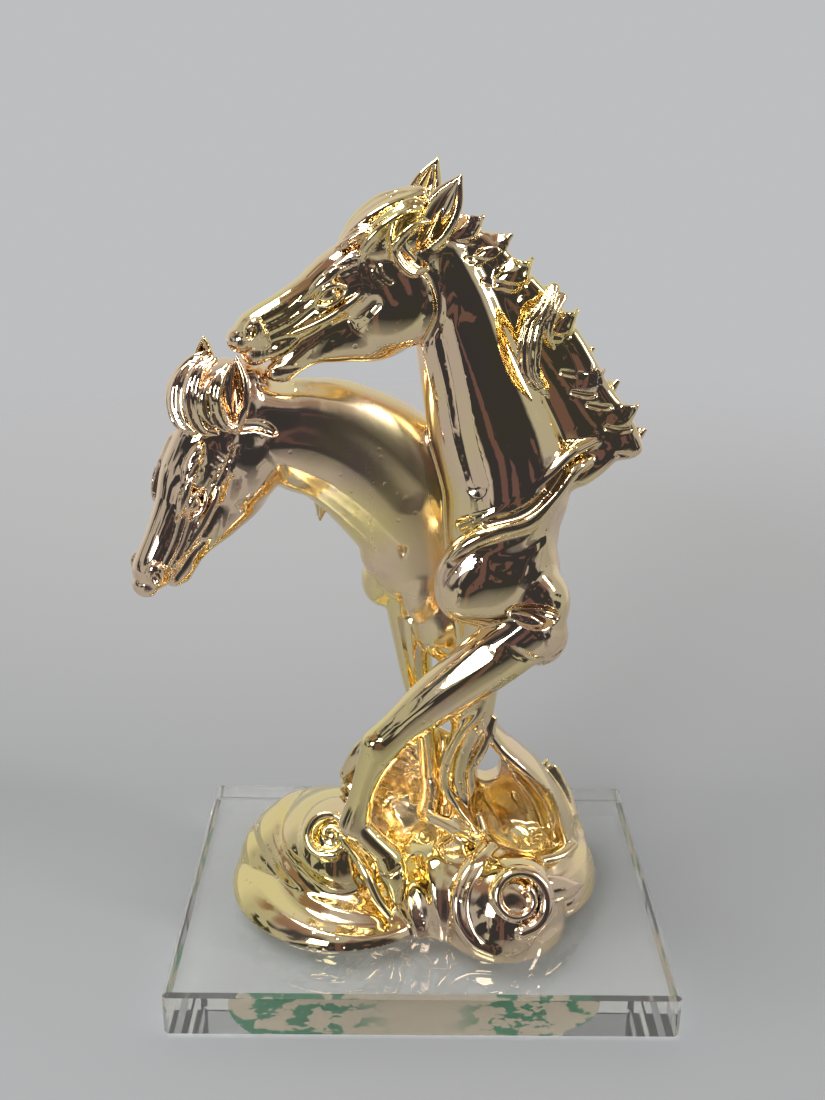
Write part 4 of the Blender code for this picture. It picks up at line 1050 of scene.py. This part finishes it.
def makeFloor():
    s = stage
    mesh = bpy.data.meshes.new("paleFloor")
    turns = [2 * math.pi * i / s["corners"] for i in range(s["corners"])]
    mesh.from_pydata([(math.cos(a) * s["radius"], math.sin(a) * s["radius"], s["level"]) for a in turns], [],
                     [list(range(s["corners"]))])
    floor = bpy.data.objects.new("pale_floor", mesh)
    bpy.context.scene.collection.objects.link(floor)
    material, tree, shader = newMaterial("paleFloor", s["floor"])
    shader.inputs["Roughness"].default_value = 0.6
    shader.inputs["Specular IOR Level"].default_value = 0.2
    place, (x, y, z) = surfacePlace(tree)
    away = place.node("VectorMath", {"operation": "DISTANCE"}, "Value", i0=place, i1=s["behind"])
    middle, half = sum(s["fade"]) / 2, (s["fade"][1] - s["fade"][0]) / 2
    feed(tree, 1 - away.above(middle, half), shader.inputs["Alpha"])
    # painted light: the floor's colour lightens towards the back, so that the far floor is as light as the
    # backdrop behind it
    feed(tree, y.above(0.70, 0.60).mix(s["floor"], s["far"]), shader.inputs["Base Color"])
    mesh.materials.append(material)


def makeWorld():
    # the camera sees a pale backdrop, and the gold the room around it
    s = room
    world = bpy.data.worlds.new("softStudio")
    bpy.context.scene.world = world
    world.use_nodes = True
    tree = world.node_tree
    start = newNode(tree, "TexCoord", out="Generated")
    x, y, z = start.parts()
    # the dark room in front: a brown strip and patches, and pale windows on the left
    front = y.below(-0.60, 0.04) * z.below(0.64, 0.04) * x.above(-0.46, 0.03)
    strip = abs(x + 0.04).below(0.07, 0.012)
    patch = noise(start, 4.5, 2.0).above(0.60, 0.02)
    dim = strip.maths("MAXIMUM", strip, patch).mix(s["dark"], s["brown"])
    pale = noise(start, 5.5, 1.0).above(0.57, 0.02) * x.below(-0.30, 0.03)
    dim = pale.mix(dim, s["pale"])
    # the walls: warm overhead, dark patches to the left and the right, dark high up, and a lighter back
    warm = noise(start, 3.0, 1.5).above(0.50, 0.06)
    walls = (z.above(0.55, 0.12) * warm).mix(s["wall"], s["warm"])
    left = x.below(-0.46, 0.04) * y.below(0.12, 0.06) * z.below(0.50, 0.05) * z.above(-0.12, 0.04)
    walls = (left * noise(start, 3.6, 2.0).above(0.50, 0.025)).mix(walls, s["dark"])
    high = z.above(0.44, 0.03) * z.below(0.74, 0.04) * y.below(-0.30, 0.04) * x.below(-0.22, 0.04)
    walls = high.mix(walls, s["dark"])
    walls = y.above(0.40, 0.15).mix(walls, s["back"])
    right = x.above(0.66, 0.05) * y.below(-0.16, 0.05) * z.below(0.06, 0.04)
    walls = (right * noise(start, 4.0, 2.0).above(0.46, 0.03)).mix(walls, s["dark"])
    seen = front.mix(walls, dim)
    colour = newNode(tree, "LightPath", out="Is Camera Ray").mix(seen, s["sky"])
    feed(tree, colour, tree.nodes["Background"].inputs["Color"])


def areaLight(name, place, aim, size, power):
    light = bpy.data.lights.new(name, "AREA")
    light.shape = "RECTANGLE"
    light.size, light.size_y = size
    light.energy = power
    item = bpy.data.objects.new(name, light)
    item.location = place
    item.rotation_euler = (Vector(aim) - Vector(place)).to_track_quat("-Z", "Y").to_euler()
    bpy.context.scene.collection.objects.link(item)
    item.visible_camera = False


def makeCamera():
    s = camera
    data = bpy.data.cameras.new("photoView")
    item = bpy.data.objects.new("photoView", data)
    bpy.context.scene.collection.objects.link(item)
    pitch, yaw, roll = (math.radians(s[k]) for k in ("pitch", "yaw", "roll"))
    ahead = Vector((math.sin(yaw) * math.cos(pitch), math.cos(yaw) * math.cos(pitch), -math.sin(pitch)))
    side = Vector((math.cos(yaw), -math.sin(yaw), 0))
    up = side.cross(ahead)
    right = side * math.cos(roll) + up * math.sin(roll)
    up = up * math.cos(roll) - side * math.sin(roll)
    item.matrix_world = Matrix.Translation(s["place"]) @ Matrix((right, up, -ahead)).transposed().to_4x4()
    data.lens, data.sensor_width = s["lens"], s["sensor"]
    data.clip_start = s["nearest"]
    bpy.context.scene.camera = item


makeFloor()
makeWorld()
for name, values in lights.items():
    areaLight(name, *values)
makeCamera()
bpy.context.scene.view_settings.view_transform = "Standard"
